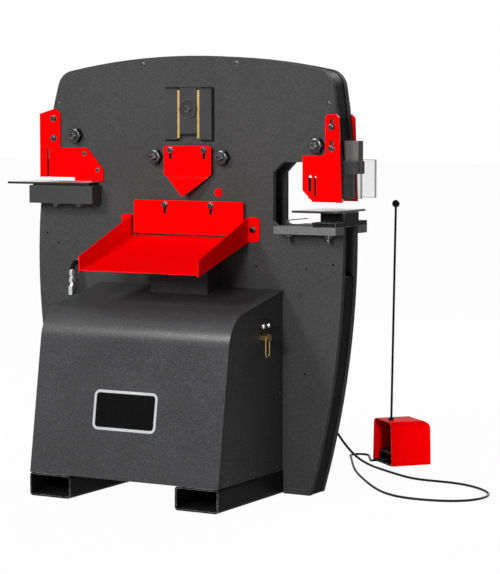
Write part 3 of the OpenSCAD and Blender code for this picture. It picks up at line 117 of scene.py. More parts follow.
def stretch(point, x, y, z):
    # coordinates times a share on each axis: a small share draws a pattern out along it
    return point.make("ShaderNodeVectorMath", {0: point, 1: (x, y, z)}, operation="MULTIPLY")


def tone(factor, under, over):
    # colour from under to over as the factor goes from 0 to 1; inputs 6 and 7 and output 2 hold colours
    under = under if isinstance(under, Sock) else (*under, 1)
    return factor.make("ShaderNodeMix", {0: factor, 6: under, 7: (*over, 1)}, pick=2, data_type="RGBA")


def bump(height, depth, strength):
    # height from 0 to 1 stands depth metres proud
    return height.make("ShaderNodeBump", {"Strength": strength, "Distance": depth, "Height": height})


class Finish:
    # a new material with its shader's fixed values set, and the object coordinates for its patterns
    def __init__(self, name, constants):
        self.material = bpy.data.materials.new(name)
        self.material.use_nodes = True
        self.tree = self.material.node_tree
        self.shader = self.tree.nodes["Principled BSDF"]
        self.point = Sock(self.tree).make("ShaderNodeTexCoord", {}, "Object")
        for key, value in constants.items():
            self.shader.inputs[key].default_value = value

    def feed(self, sockets):
        for key, sock in sockets.items():
            self.tree.links.new(sock.out, self.shader.inputs[key])

    def upward(self):
        # 1 on faces that look up, 0 on upright ones
        flat = self.point.make("ShaderNodeNewGeometry", {}, "True Normal")
        return band(flat.make("ShaderNodeSeparateXYZ", {0: flat}, "Z"), 0.4, 0.8)

    def bend(self):
        # 1 where a curved panel turns from upright to level, 0 on its flats
        smooth = self.point.make("ShaderNodeNewGeometry", {}, "Normal")
        rise = smooth.make("ShaderNodeSeparateXYZ", {0: smooth}, "Z")
        return band(rise, 0.16, 0.3) * (1 - band(rise, 0.6, 0.85))

    def edge(self, radius):
        # how far the rounded normal turns from the flat one: above 0 only near sharp edges
        rounded = self.point.make("ShaderNodeBevel", {"Radius": radius}, samples=4)
        flat = self.point.make("ShaderNodeNewGeometry", {}, "True Normal")
        return 1 - flat.make("ShaderNodeVectorMath", {0: rounded, 1: flat}, "Value", operation="DOT_PRODUCT")


paintWay = {"broad": 0.22, "broadRough": 0.1, "mottleBand": (0.32, 0.68), "fleckScale": 1.3,
            "fleckBand": (0.56, 0.72), "edgeBand": (0.03, 0.22), "rubSize": 0.03, "rubBand": (0.36, 0.58),
            "fineScale": 0.45, "fineShare": 0.4}


def paint(name, look):
    # powder coat: leathery mottling, flecks that may be metallic, and edges tinted partly as rubbed wear and
    # partly as painted light (highlight where the edge tone is lighter, shade where darker), which may keep a
    # gloss
    way = paintWay
    finish = Finish(name, {"Coat Roughness": look.get("coatRough", 0.15),
                           "Specular IOR Level": look["specular"]})
    grain = noise(finish.point, look["grain"], 2.0, 0.6)
    broad = noise(finish.point, way["broad"])
    fleck = band(noise(finish.point, look["grain"] * way["fleckScale"], 1.0), *way["fleckBand"])
    share = look.get("mottle", 0.5)
    mottle = band(grain, *way["mottleBand"]) * share + broad * (1 - share)
    colour = tone(mottle, look["dark"], look["light"])
    colour = tone(fleck * look.get("fleck", 0.3), colour, look["fleckTone"])
    edge = band(finish.edge(look.get("edge", 0.002)), *way["edgeBand"])
    # edge tone: rubbed wear at random spots, and painted light along the edges
    edgeWearAndHighlight = edge * band(noise(finish.point, way["rubSize"], 4.0), *way["rubBand"])
    colour = tone(edgeWearAndHighlight * look.get("wearAndPaintedLight", 0.5), colour, look["edgeTone"])
    fine = noise(finish.point, look["grain"] * way["fineScale"], 1.0)
    height = grain * (1 - way["fineShare"]) + fine * way["fineShare"]
    rough = look["rough"] + (grain - 0.5) * look.get("roughVary", 0.14) + (broad - 0.5) * way["broadRough"]
    if "sparkle" in look:
        finish.feed({"Metallic": fleck * look["sparkle"]})
    if "edgeCoat" in look:
        finish.feed({"Coat Weight": edge * look["edgeCoat"]})
    if "bendCoat" in look:
        finish.feed({"Coat Weight": finish.bend() * look["bendCoat"]})
    finish.feed({"Base Color": colour, "Roughness": rough,
                 "Normal": bump(height, look["deep"], look.get("strength", 0.35))})
    return finish.material


steelWay = {"pitch": 0.0011, "cloud": 0.05, "cloudBand": (0.3, 0.6), "cloudRough": 0.15, "pitSize": 0.0023,
            "pitBand": (0.66, 0.8), "edgeBand": (0.03, 0.2), "deep": 0.00006, "strength": 0.35}


def steel(name, look):
    # machined metal: streaks drawn out along one axis, cloudy oxide, small dark pits, and edges partly worn
    # bright and partly painted as highlight (painted as shade where the edge tone is dark, as on brass); where
    # a side shade tone is given, faces that don't look up are painted dark as shade
    way = steelWay
    finish = Finish(name, {"Metallic": look.get("metallic", 1.0),
                           "Specular IOR Level": look.get("specular", 0.5)})
    streak = noise(stretch(finish.point, *look["draw"]), way["pitch"], 4.0, 0.65)
    cloud = noise(finish.point, way["cloud"], 4.0)
    pits = band(noise(finish.point, way["pitSize"], 2.0), *way["pitBand"])
    colour = tone(streak * 0.5 + cloud * 0.5, look["dark"], look["light"])
    colour = tone(pits * look.get("pits", 0.4), colour, look["pitTone"])
    # edges: partly worn bright, partly painted highlight; where the edge tone is dark, painted shade in the
    # gaps
    edgeWearHighlightShade = band(finish.edge(look.get("edge", 0.0012)), *way["edgeBand"]) * band(cloud, *way["cloudBand"])
    colour = tone(edgeWearHighlightShade * look.get("wearAndPaintedLight", 0.4), colour, look.get("edgeTone", look["light"]))
    # painted shade: faces that don't look up are darkened, leaving the tops lighter
    if "sideShadeTone" in look:
        colour = tone(1 - finish.upward(), colour, look["sideShadeTone"])
    rough = look["rough"] + (streak - 0.5) * look.get("roughVary", 0.22) + (cloud - 0.5) * way["cloudRough"]
    finish.feed({"Base Color": colour, "Roughness": rough,
                 "Normal": bump(streak, way["deep"], way["strength"])})
    return finish.material


mouldedWay = {"markDraw": (1.0, 1.0, 0.25), "markSize": 0.012, "markBand": (0.5, 0.75), "markShare": 0.4,
              "markRough": 0.14, "grainRough": 0.08, "strength": 0.4}


def moulded(name, look):
    # moulded plastic or rubber: faint mottling, fine grain, handling marks in the gloss
    way = mouldedWay
    finish = Finish(name, {"Specular IOR Level": look.get("specular", 0.4)})
    grain = noise(finish.point, look["grain"], 2.0)
    marks = band(noise(stretch(finish.point, *way["markDraw"]), way["markSize"], 4.0), *way["markBand"])
    mottle = grain * (1 - way["markShare"]) + marks * way["markShare"]
    finish.feed({"Base Color": tone(mottle, look["dark"], look["light"]),
                 "Roughness": look["rough"] + marks * way["markRough"] + (grain - 0.5) * way["grainRough"],
                 "Normal": bump(grain, look["deep"], way["strength"])})
    return finish.material


def clearSheet(name, look):
    # polycarbonate: almost clear, with hazy rub marks; its cut edges, the outer end in x among them, are
    # painted dark as shade
    finish = Finish(name, {"IOR": 1.45, "Specular IOR Level": 0.5})
    rub = noise(stretch(finish.point, *look["rubDraw"]), look["rubSize"], 5.0, 0.7)
    haze = noise(finish.point, look["hazeSize"], 2.0)
    across = finish.point.make("ShaderNodeSeparateXYZ", {0: finish.point}, "X")
    outer = band(across, *look["endBand"]) * look["endShare"]
    # rim: painted shade along the cut edges and at the outer end in x
    rim = band(finish.edge(look["edge"]), *look["edgeBand"]).most(outer)
    alpha = look["alpha"] + band(rub, *look["rubAlphaBand"]) * look["rubAlpha"] + haze * look["hazeAlpha"]
    finish.feed({"Base Color": tone(rim, tone(haze, look["dark"], look["light"]), look["edgeTone"]),
                 "Roughness": look["rough"] + band(rub, *look["rubRoughBand"]) * look["rubRough"],
                 "Alpha": alpha + rim * look["edgeAlpha"]})
    return finish.material


materials = {
    "plate_grey": paint("plateGrey", {
        "dark": (0.035, 0.0345, 0.0345), "light": (0.071, 0.07, 0.07), "grain": 0.0032, "rough": 0.5,
        "fleckTone": (0.11, 0.11, 0.112), "fleck": 0.22, "sparkle": 0.12, "edgeTone": (0.2, 0.2, 0.202),
        "deep": 0.0012, "strength": 0.5, "specular": 0.012}),
    "cabinet_grey": paint("cabinetGrey", {
        "dark": (0.028, 0.028, 0.029), "light": (0.07, 0.07, 0.073), "grain": 0.0042, "rough": 0.34,
        "fleckTone": (0.12, 0.12, 0.127), "fleck": 0.2, "sparkle": 0.3, "edgeTone": (0.16, 0.16, 0.164),
        "deep": 0.0016, "strength": 0.6, "specular": 0.03, "bendCoat": 0.4, "coatRough": 0.3}),
    "gloss_red": paint("glossRed", {
        "dark": (0.84, 0.0, 0.0), "light": (0.92, 0.0, 0.001), "grain": 0.004, "mottle": 0.2,
        "rough": 0.34, "roughVary": 0.05, "fleckTone": (0.94, 0.003, 0.003), "fleck": 0.1,
        "edgeTone": (0.6, 0.0, 0.0), "wearAndPaintedLight": 0.35, "edgeCoat": 0.9, "deep": 0.00016, "specular": 0.01}),
    "gloss_black": paint("glossBlack", {
        "dark": (0.004, 0.004, 0.0042), "light": (0.007, 0.007, 0.0073), "grain": 0.005, "rough": 0.34,
        "roughVary": 0.06, "fleckTone": (0.01, 0.01, 0.0105), "edgeTone": (0.05, 0.05, 0.051),
        "edgeCoat": 0.8, "deep": 0.0002, "specular": 0.008}),
    # tube black: its bright edges are painted highlight
    "tube_black": paint("tubeBlack", {
        "dark": (0.007, 0.007, 0.0073), "light": (0.014, 0.014, 0.0145), "grain": 0.004, "rough": 0.4,
        "fleckTone": (0.03, 0.03, 0.031), "edgeTone": (0.3, 0.3, 0.305), "edge": 0.004, "wearAndPaintedLight": 0.85,
        "edgeCoat": 0.8, "deep": 0.0005, "specular": 0.02}),
    "motor_paint": paint("motorPaint", {
        "dark": (0.05, 0.055, 0.06), "light": (0.08, 0.085, 0.09), "grain": 0.003, "rough": 0.4,
        "fleckTone": (0.12, 0.12, 0.125), "edgeTone": (0.2, 0.2, 0.2), "deep": 0.0002, "specular": 0.2}),
    "bar_grey": paint("barGrey", {
        "dark": (0.08, 0.0795, 0.079), "light": (0.2, 0.199, 0.198), "grain": 0.0034, "rough": 0.46,
        "fleckTone": (0.26, 0.26, 0.262), "edgeTone": (0.3, 0.3, 0.302), "deep": 0.0012, "strength": 0.5,
        "specular": 0.02}),
    # ground steel: faces that don't look up painted dark as shade
    "ground_steel": steel("groundSteel", {
        "dark": (0.36, 0.36, 0.37), "light": (0.68, 0.68, 0.69), "draw": (0.05, 1.0, 1.0), "rough": 0.3,
        "pitTone": (0.16, 0.15, 0.14), "sideShadeTone": (0.03, 0.03, 0.031), "wearAndPaintedLight": 0.2}),
    # dark steel: its bright edges are painted highlight
    "dark_steel": steel("darkSteel", {
        "dark": (0.02, 0.02, 0.0205), "light": (0.085, 0.085, 0.087), "draw": (1.0, 1.0, 0.3), "rough": 0.22,
        "roughVary": 0.12, "pitTone": (0.02, 0.02, 0.02), "edgeTone": (0.8, 0.8, 0.81), "edge": 0.0016,
        "wearAndPaintedLight": 0.85}),
    "guide_steel": steel("guideSteel", {
        "dark": (0.03, 0.03, 0.031), "light": (0.07, 0.07, 0.072), "draw": (1.0, 1.0, 0.04), "rough": 0.4,
        "pitTone": (0.015, 0.015, 0.015), "edgeTone": (0.16, 0.16, 0.16), "metallic": 0.0, "specular": 0.02}),
    "ram_steel": steel("ramSteel", {
        "dark": (0.09, 0.084, 0.08), "light": (0.17, 0.158, 0.15), "draw": (1.0, 1.0, 0.1), "rough": 0.42,
        "pitTone": (0.04, 0.038, 0.036), "edgeTone": (0.3, 0.29, 0.28), "metallic": 0.0, "specular": 0.02}),
    "tool_steel": steel("toolSteel", {
        "dark": (0.25, 0.25, 0.26), "light": (0.5, 0.5, 0.51), "draw": (1.0, 1.0, 0.06), "rough": 0.3,
        "pitTone": (0.12, 0.11, 0.1)}),
    "zinc_steel": steel("zincSteel", {
        "dark": (0.42, 0.43, 0.44), "light": (0.68, 0.69, 0.7), "draw": (1.0, 1.0, 0.4), "rough": 0.28,
        "pitTone": (0.2, 0.2, 0.2)}),
    "chrome": steel("chromePlate", {
        "dark": (0.7, 0.7, 0.71), "light": (0.86, 0.86, 0.87), "draw": (1.0, 1.0, 1.0), "rough": 0.12,
        "roughVary": 0.06, "pitTone": (0.5, 0.5, 0.5), "pits": 0.15}),
    # brass: its edges painted darker as shade in the gaps beside the gibs
    "brass": steel("brassBar", {
        "dark": (0.38, 0.25, 0.08), "light": (0.64, 0.46, 0.19), "draw": (1.0, 1.0, 0.06), "rough": 0.3,
        "pitTone": (0.22, 0.13, 0.05), "edgeTone": (0.16, 0.1, 0.035), "edge": 0.0026, "wearAndPaintedLight": 0.75}),
    "clear_sheet": clearSheet("clearSheet", {
        "dark": (0.03, 0.032, 0.034), "light": (0.06, 0.063, 0.066), "edgeTone": (0.02, 0.021, 0.022),
        "edge": 0.004, "edgeBand": (0.012, 0.1), "endBand": (0.6235, 0.625), "endShare": 0.55,
        "rubDraw": (1.0, 1.0, 0.35), "rubSize": 0.01, "rubRoughBand": (0.5, 0.8), "rubRough": 0.18,
        "rubAlphaBand": (0.55, 0.8), "rubAlpha": 0.05, "hazeSize": 0.06, "hazeAlpha": 0.05,
        "rough": 0.06, "alpha": 0.075, "edgeAlpha": 0.7}),
    "rubber_black": moulded("rubberBlack", {
        "dark": (0.008, 0.008, 0.0085), "light": (0.018, 0.018, 0.0185), "grain": 0.0012, "rough": 0.48,
        "deep": 0.0001, "specular": 0.06}),
    "plastic_black": moulded("plasticBlack", {
        "dark": (0.006, 0.006, 0.0065), "light": (0.012, 0.012, 0.0125), "grain": 0.0011, "rough": 0.16,
        "deep": 0.00003, "specular": 0.08}),
    "plastic_matte": moulded("plasticMatte", {
        "dark": (0.010, 0.010, 0.0105), "light": (0.02, 0.02, 0.021), "grain": 0.0008, "rough": 0.44,
        "deep": 0.00008}),
}
# nodes whose finish isn't that of their slot
ownFinish = {"carry_rod": "rubber_black", "ram_beam": "ram_steel", "punch_holder": "guide_steel",
             "punch_bolsters": "bar_grey"}
for entry in frame["record"]["subparts"]:
    node = nodes[entry["node"]]
    node.data.materials.clear()
    node.data.materials.append(materials[ownFinish.get(entry["node"], entry["material_slot"])])
print("materials set")


def dress(name, data, slotName, body, replaced):
    # one object at the origin: its material, the body it rides on and the nodes it takes over
    data.materials.append(materials[slotName])
    thing = bpy.data.objects.new(name, data)
    scene.collection.objects.link(thing)
    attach(thing, body)
    if replaced:
        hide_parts(*replaced)
    return thing


# pedal cord along the same route as its solid; diameter and exit in metres
pedal = {"at": (372, 645), "turn": math.radians(49)}
cordLook = {"diameter": 0.008, "exit": (0.412, 0.075, 0.246), "step": 7}
cordRoute = [
    (412, 75, 246), (412, 99.9, 245.3), (415.5, 123.7, 237.3), (424.3, 140.1, 217), (440.2, 150.5, 184.3),
    (457.4, 161.5, 152.9), (479.6, 204.1, 102.3), (491.6, 270, 65), (499.2, 312.8, 47.2),
    (510.5, 348.6, 33.8), (531.4, 377, 21), (574, 389.6, 9.3), (620.4, 384.7, 4.8), (667.1, 380.9, 4),
    (769.9, 374.6, 4), (906, 296, 4), (950.4, 232, 4), (957.6, 158.3, 4), (929.8, 96.7, 4), (806.2, 45, 4),
    (704.8, 60, 4), (580, 159.4, 4), (479.5, 283.9, 4), (385.9, 413.5, 4), (303.5, 550.6, 4),
    (226.3, 690.8, 4), (215.1, 710.9, 4), (206, 730.7, 4), (207.7, 751.8, 4), (222, 767.4, 4),
    (242.8, 770.8, 4), (261.3, 760.6, 4), (273.7, 741.4, 4), (311.2, 674.1, 4), (323.4, 652.3, 5.5),
    (338.7, 634.5, 9), (361.1, 628.5, 12.5), (383.3, 637.9, 14), (400.9, 656.9, 14)]


def alongPath(path):
    # distance of each point from the first, measured along the path
    return np.concatenate([[0], np.cumsum(np.linalg.norm(np.diff(path, axis=0), axis=1))])


def smoothPath(route, step):
    # natural cubic spline through the points, with chord length as its parameter
    p = np.array(route, float)
    h = np.linalg.norm(np.diff(p, axis=0), axis=1)[:, None]
    t = alongPath(p)
    i = np.arange(1, len(p) - 1)
    system, right = np.eye(len(p)), np.zeros_like(p)
    system[i, i - 1], system[i, i + 1] = h[:-1, 0], h[1:, 0]
    system[i, i] = 2 * (h[:-1, 0] + h[1:, 0])
    right[i] = 6 * ((p[2:] - p[1:-1]) / h[1:] - (p[1:-1] - p[:-2]) / h[:-1])
    bend = np.linalg.solve(system, right)
    s = np.linspace(0, t[-1], int(t[-1] / step) + 1)
    k = np.clip(np.searchsorted(t, s, "right") - 1, 0, len(h) - 1)
    d = h[k]
    b = (s - t[k])[:, None] / d
    a = 1 - b
    return a * p[k] + b * p[k + 1] + ((a ** 3 - a) * bend[k] + (b ** 3 - b) * bend[k + 1]) * d ** 2 / 6


def flexible(name, path, diameter, slotName, replaced):
    # round curve along a path; returns the object and its length in metres
    curve = bpy.data.curves.new(name, "CURVE")
    curve.dimensions = "3D"
    curve.bevel_depth = diameter / 2
    curve.bevel_resolution = 5
    curve.use_fill_caps = True
    spline = curve.splines.new("POLY")
    spline.points.add(len(path) - 1)
    spline.points.foreach_set("co", np.column_stack([path / perMetre, np.ones(len(path))]).ravel())
    thing = dress(name, curve, slotName, "frame", [replaced])
    return thing, round(float(np.linalg.norm(np.diff(path, axis=0), axis=1).sum()) / perMetre, 4)


cordFine = smoothPath(cordRoute, cordLook["step"])
cordFine[:, 2] = np.maximum(cordFine[:, 2], perMetre * cordLook["diameter"] / 2)  # rests on the floor
cordObject, cordLength = flexible("pedalCord", cordFine, cordLook["diameter"], "rubber_black", "pedal_cord")

# hydraulic hose from its ferrule down and into the cabinet side: straight, a quarter circle, straight;
# diameter and exit in metres
hose = {"diameter": 0.02, "exit": (-0.44, -0.093, 0.618), "at": (-440, -93), "top": 618, "bend": 80, "low": 430,
        "end": -345, "rows": 16}
arc = np.linspace(0, math.pi / 2, hose["rows"])[:, None]
hosePath = np.vstack([
    [(*hose["at"], hose["top"])],
    np.hstack([hose["at"][0] + hose["bend"] * (1 - np.cos(arc)), 0 * arc + hose["at"][1],
               hose["low"] + hose["bend"] * (1 - np.sin(arc))]),
    [(hose["end"], hose["at"][1], hose["low"])]])
hoseObject, hoseLength = flexible("hydraulicHose", hosePath, hose["diameter"], "rubber_black",
                                  "hydraulic_hose")
print("cord", cordLength, "hose", hoseLength)


def around(sides):
    # angles of evenly spaced points on a circle
    return np.arange(sides) * 2 * math.pi / sides


def hexagon(angle, across):
    # radius of a hexagon of the given size across its flats
    return across / 2 / np.cos(angle % (math.pi / 3) - math.pi / 6)


def grid(rows, columns, wrapRows=False):
    # quads between neighbouring rows of points; the columns always close into rings
    r = np.arange(rows if wrapRows else rows - 1)[:, None]
    c = np.arange(columns)[None, :]
    n, u = (c + 1) % columns, (r + 1) % rows
    corners = [r * columns + c, r * columns + n, u * columns + n, u * columns + c]
    return np.stack(corners, -1).reshape(-1, 4).tolist()


def rings(points, closed=False):
    # rows of points joined into a skin; flat ends, or the last row joined to the first
    rows, columns = points.shape[:2]
    faces = grid(rows, columns, closed)
    if not closed:
        faces += [list(range(columns))[::-1], list(range((rows - 1) * columns, rows * columns))]
    return points.reshape(-1, 3), faces


def turned(profile, sides=48, across=0.0, sixSided=(), closed=False):
    # rows of (radius, height) carried round Z; some rows are held inside a hexagon
    profile = np.array(profile, float)
    angle = around(sides)
    radius = np.repeat(profile[:, :1], sides, axis=1)
    if across:
        held = list(sixSided)
        radius[held] = np.minimum(radius[held], hexagon(angle, across))
    height = np.repeat(profile[:, 1:], sides, axis=1)
    return rings(np.stack([radius * np.cos(angle), radius * np.sin(angle), height], -1), closed)


def swept(path, radius, sides, up=(0, 0, 1)):
    # circles of the given radii set square to the path
    way = np.gradient(path, axis=0)
    way /= np.linalg.norm(way, axis=1)[:, None]
    side = np.cross(way, up)
    side /= np.linalg.norm(side, axis=1)[:, None]
    over = np.cross(side, way)
    angle = around(sides)[None, :, None]
    circle = np.cos(angle) * side[:, None, :] + np.sin(angle) * over[:, None, :]
    return rings((path[:, None, :] + radius[:, None, None] * circle)[:, ::-1])


turns = {"front": ((1, 0, 0), (0, 0, -1), (0, 1, 0)), "back": ((-1, 0, 0), (0, 0, 1), (0, 1, 0)),
         "down": ((1, 0, 0), (0, -1, 0), (0, 0, -1)), "right": ((0, 0, 1), (1, 0, 0), (0, 1, 0)),
         "left": ((0, 0, -1), (-1, 0, 0), (0, 1, 0))}


def facing(shape, way, place):
    # a shape made along +Z, turned to point the given way from its place
    return shape[0] @ np.array(turns[way], float).T + np.array(place, float), shape[1]


def gather(shapes):
    # several shapes as one: the point numbers of each move past those before it
    starts = np.cumsum([0] + [len(points) for points, faces in shapes])
    faces = [[int(start) + k for k in face]
             for start, (points, rows) in zip(starts, shapes) for face in rows]
    return np.vstack([points for points, rows in shapes]), faces


def piece(name, shape, slotName, body, replaced=(), crease=35):
    # a shape as a mesh object, smooth but for edges sharper than crease degrees
    mesh = bpy.data.meshes.new(name)
    mesh.from_pydata((shape[0] / perMetre).tolist(), [], shape[1])
    mesh.polygons.foreach_set("use_smooth", np.ones(len(mesh.polygons), bool))
    mesh.set_sharp_from_angle(angle=math.radians(crease))
    dress(name, mesh, slotName, body, replaced)


# six-sided ends are turned down to a cone: depths and radii as shares of the size across the flats
cone = {"deep": 0.07, "top": 0.47, "slope": 1.7, "steps": (0.063, 0.045, 0.02, 0)}
boltEase = {"sink": 1, "under": 0.6, "rise": 0.5, "over": 0.4, "crown": (0.3, 0.02)}


def coneRows(across):
    # (radius, depth) from the flats to the end; the radius grows in step with the depth
    return [(across * (cone["top"] + cone["slope"] * c), across * c) for c in cone["steps"]]


def bolt(lift, shank, across, head, washer):
    # shank, washer, then a six-sided head whose top edge is turned down to a cone
    ease = boltEase
    wide, thick = washer
    base, top = lift + thick, lift + thick + head
    rows = [(shank, -ease["sink"]), (shank, lift), (wide - ease["under"], lift), (wide, lift + ease["rise"]),
            (wide, base - ease["over"]), (wide - ease["over"], base)]
    plain = len(rows)
    rows += [(across, base), (across, top - cone["deep"] * across)]
    rows += [(radius, top - depth) for radius, depth in coneRows(across)]
    rows += [(across * ease["crown"][0], top + ease["crown"][1] * across)]
    return turned(rows, across=across, sixSided=range(plain, len(rows)))


# bolts of the guards, the tray and the covers; a place is x, z and the washer's height above the plate
face = 53  # outer face of each frame plate, from the middle plane
ways = ("front", "back")
guard = {"across": 18, "head": 7.4, "washer": (11.2, 1.4), "shank": 6, "shoulder": 10,
         "places": ((-534, 1214, 6), (-534, 1147, 6), (526, 1189, 6.6), (526, 1121, 6.6)),
         "slotted": ((-64, 1112, 17.3), (64, 1112, 17.3), (-88, 931, 14.3), (88, 931, 14.3)),
         "tray": ((-240, 855.5, 4), (240, 855.5, 4))}
cover = {"across": 12, "head": 4.4, "washer": (7.6, 1.0), "shank": 4,
         "places": ((-178, 1393.3, 0), (178, 1393.3, 0), (-515.4, 1262, 0), (514.5, 1262, 0),
                    (-410, 1096, 6), (-357, 1041, 6))}


def plateBolt(look, x, z, lift, way, shank="shank"):
    # a bolt square to the front or the rear plate
    shape = bolt(lift, look[shank], look["across"], look["head"], look["washer"])
    return facing(shape, way, (x, -face if way == "front" else face, z))


guardShapes = [plateBolt(guard, *place, way) for way in ways for place in guard["places"]]
guardShapes += [plateBolt(guard, *place, "front", "shoulder") for place in guard["slotted"]]
guardShapes += [plateBolt(guard, *place, "front") for place in guard["tray"]]
piece("guardBolts", gather(guardShapes), "dark_steel", "frame", ["guard_bolts"])
coverShapes = [plateBolt(cover, *place, way) for way in ways for place in cover["places"]]
piece("coverBolts", gather(coverShapes), "dark_steel", "frame", ["cover_bolts"])
print("bolts made")

# gib adjusters: threaded screws with a six-sided socket, and lock nuts turned down at both ends
gib = {"places": ((-444, 1157), (-128, 1088), (128, 1088), (473, 1130)), "across": 46, "high": 24,
       "radius": 12, "pitch": 3.0, "depth": 1.1, "start": -20, "end": 40, "sides": 36, "socket": 12.5,
       "socketDeep": 8}
thread = {"rowsPerPitch": 6, "endSlope": 1.2}
nutEase = 0.8


def threaded(radius, depth, pitch, low, high, sides):
    # the radius falls towards each groove by a triangle wave of height over pitch less the turn
    z = np.linspace(low, high, int((high - low) / pitch * thread["rowsPerPitch"]) + 1)[:, None]
    angle = around(sides)[None, :]
    r = radius - depth * np.abs((z / pitch - angle / (2 * math.pi)) % 1 * 2 - 1)
    r = np.minimum(r, radius - depth + thread["endSlope"] * (high - z))
    return np.stack([r * np.cos(angle), r * np.sin(angle), z + 0 * angle], -1)


def gibScrew():
    # threaded rows, then two six-sided rows that go down into the end
    angle = around(gib["sides"])
    six = hexagon(angle, gib["socket"])
    body = threaded(gib["radius"], gib["depth"], gib["pitch"], gib["start"], gib["end"], gib["sides"])
    socket = [np.stack([six * np.cos(angle), six * np.sin(angle), 0 * angle + z], -1)
              for z in (gib["end"], gib["end"] - gib["socketDeep"])]
    return rings(np.concatenate([body, np.array(socket)]))


def lockNut(across, high, bore):
    # closed ring of (radius, height) rows: bore, cone, flats, cone and back to the bore
    ends = coneRows(across)
    rows = [(bore, nutEase), (bore + nutEase, 0)] + ends[::-1]
    rows += [(across, cone["deep"] * across), (across, high - cone["deep"] * across)]
    rows += [(radius, high - depth) for radius, depth in ends]
    rows += [(bore + nutEase, high), (bore, high - nutEase)]
    return turned(rows, across=across, sixSided=range(2, len(rows) - 2), closed=True)


def atGibs(shape):
    # the shape on the front plate at each gib adjuster
    return gather([facing(shape, "front", (x, -face, z)) for x, z in gib["places"]])


gibNut = lockNut(gib["across"], gib["high"], gib["radius"])
piece("gibScrews", atGibs(gibScrew()), "dark_steel", "frame", ["gib_screws"])
piece("gibLockNuts", atGibs(gibNut), "dark_steel", "frame", ["gib_lock_nuts"])

# nuts under the tables, with studs below the punching bars; a place is x, z and the stud's length
tableBolt = {"across": 19, "high": 10, "radius": 5, "pitch": 1.5, "depth": 0.8, "sides": 24, "out": 83,
             "places": ((-416.4, 928, 0.4), (-508.2, 928, 0.4), (528.0, 848, 16), (386.0, 848, 16))}
tableNut = lockNut(tableBolt["across"], tableBolt["high"], tableBolt["radius"])
hung = []
for x, z, stud in tableBolt["places"]:
    end = rings(threaded(tableBolt["radius"], tableBolt["depth"], tableBolt["pitch"], 0,
                         tableBolt["high"] + stud, tableBolt["sides"]))
    for y in (-tableBolt["out"], tableBolt["out"]):
        hung += [facing(tableNut, "down", (x, y, z)), facing(end, "down", (x, y, z))]
piece("tableBolts", gather(hung), "dark_steel", "frame", ["table_bolts"])

# domed screws of the cabinet sides with a six-sided socket
cabinetScrew = {"rows": ((4.5, 0), (4.5, 0.5), (4.2, 1.4), (3.3, 2.1), (2.2, 2.4), (1.6, 2.4), (1.6, 1.1)),
                "sides": 24, "socket": 2.8, "socketRows": (5, 6), "out": 348,
                "places": ((-414, 92), (-265.5, 92), (-85, 92), (-69, 332))}
screw = turned(cabinetScrew["rows"], cabinetScrew["sides"], cabinetScrew["socket"], cabinetScrew["socketRows"])
screws = [facing(screw, way, (sign * cabinetScrew["out"], y, z))
          for way, sign in (("right", 1), ("left", -1)) for y, z in cabinetScrew["places"]]
piece("cabinetScrews", gather(screws), "tube_black", "frame", ["cabinet_screws"])
print("screws made")

# hose fittings from the low end up: crimping nut, flared neck, six-sided body, ring, top nut and cap
fitting = {"at": (-440, -93, 618), "sides": 36, "crimp": (25, 0, 32), "body": (20, 42, 60), "nut": (19, 66, 85),
           "neck": ((10.5, 31), (9.5, 34), (7, 38), (6.6, 43)), "ring": ((7.4, 59), (7.4, 67)),
           "cap": ((8.4, 84), (8.2, 86), (7.4, 86.6))}
flats = [(0.47, 0), (0.5, 0.02), (0.577, 0.063), (0.6, 0.1)]  # radius and depth, shares of the size across


def hexBar(across, low, high):
    # six-sided bar whose two ends are turned down
    rows = [(r * across, low + c * across) for r, c in flats]
    rows += [(r * across, high - c * across) for r, c in flats[::-1]]
    return turned(rows, across=across, sixSided=range(len(rows)))


points, faces = gather([hexBar(*fitting["crimp"]), turned(fitting["neck"], fitting["sides"]),
                        hexBar(*fitting["body"]), turned(fitting["ring"], fitting["sides"]),
                        hexBar(*fitting["nut"]), turned(fitting["cap"], fitting["sides"])])
piece("hoseFittings", (points + np.array(fitting["at"], float), faces), "zinc_steel", "frame",
      ["hose_fittings"])

# black elbow from the top nut into the front plate: a quarter circle, then a six-sided shoulder
elbow = {"bend": 23, "radius": 8, "top": 704, "lap": 1, "sink": 0.5, "shoulder": 22, "shoulderHigh": 8,
         "rows": 14, "sides": 24}
fittingX, fittingY = fitting["at"][:2]
elbowLevel = elbow["top"] + elbow["bend"]
turn = np.linspace(0, math.pi / 2, elbow["rows"])
elbowPath = np.vstack([
    [(fittingX, fittingY, elbow["top"] - elbow["lap"])],
    np.stack([0 * turn + fittingX, fittingY + elbow["bend"] * (1 - np.cos(turn)),
              elbow["top"] + elbow["bend"] * np.sin(turn)], -1),
    [(fittingX, elbow["sink"] - face, elbowLevel)]])
elbowTube = swept(elbowPath, np.full(len(elbowPath), elbow["radius"]), elbow["sides"], (1, 0, 0))
shoulder = facing(hexBar(elbow["shoulder"], 0, elbow["shoulderHigh"]), "front", (fittingX, -face, elbowLevel))
piece("hoseElbow", gather([elbowTube, shoulder]), "tube_black", "frame")


def slab(x, z, low, high):
    # upright block between two x and two z, from low to high in front of the middle plane
    corners = np.array([(x[i], z[j]) for i, j in ((0, 0), (1, 0), (1, 1), (0, 1))], float)
    rows = np.array([np.column_stack([corners, np.full(4, level)]) for level in (low, high)])
    return facing(rings(rows), "front", (0, 0, 0))


def slabPair(x, z, low, high):
    # the same block in front of the middle plane and behind it
    return [slab(x, z, low, high), slab(x, z, -high, -low)]


# painted shade: a dark strip on the inner face of each punch guard, behind its sight slots, for the shade seen
# through them
slotShade = {"x": (440, 476), "z": (960, 1027), "from": 51.2, "to": 53.2}
piece("slotShadeStrips", gather(slabPair(slotShade["x"], slotShade["z"], slotShade["from"], slotShade["to"])), "rubber_black",
      "punch_guard")

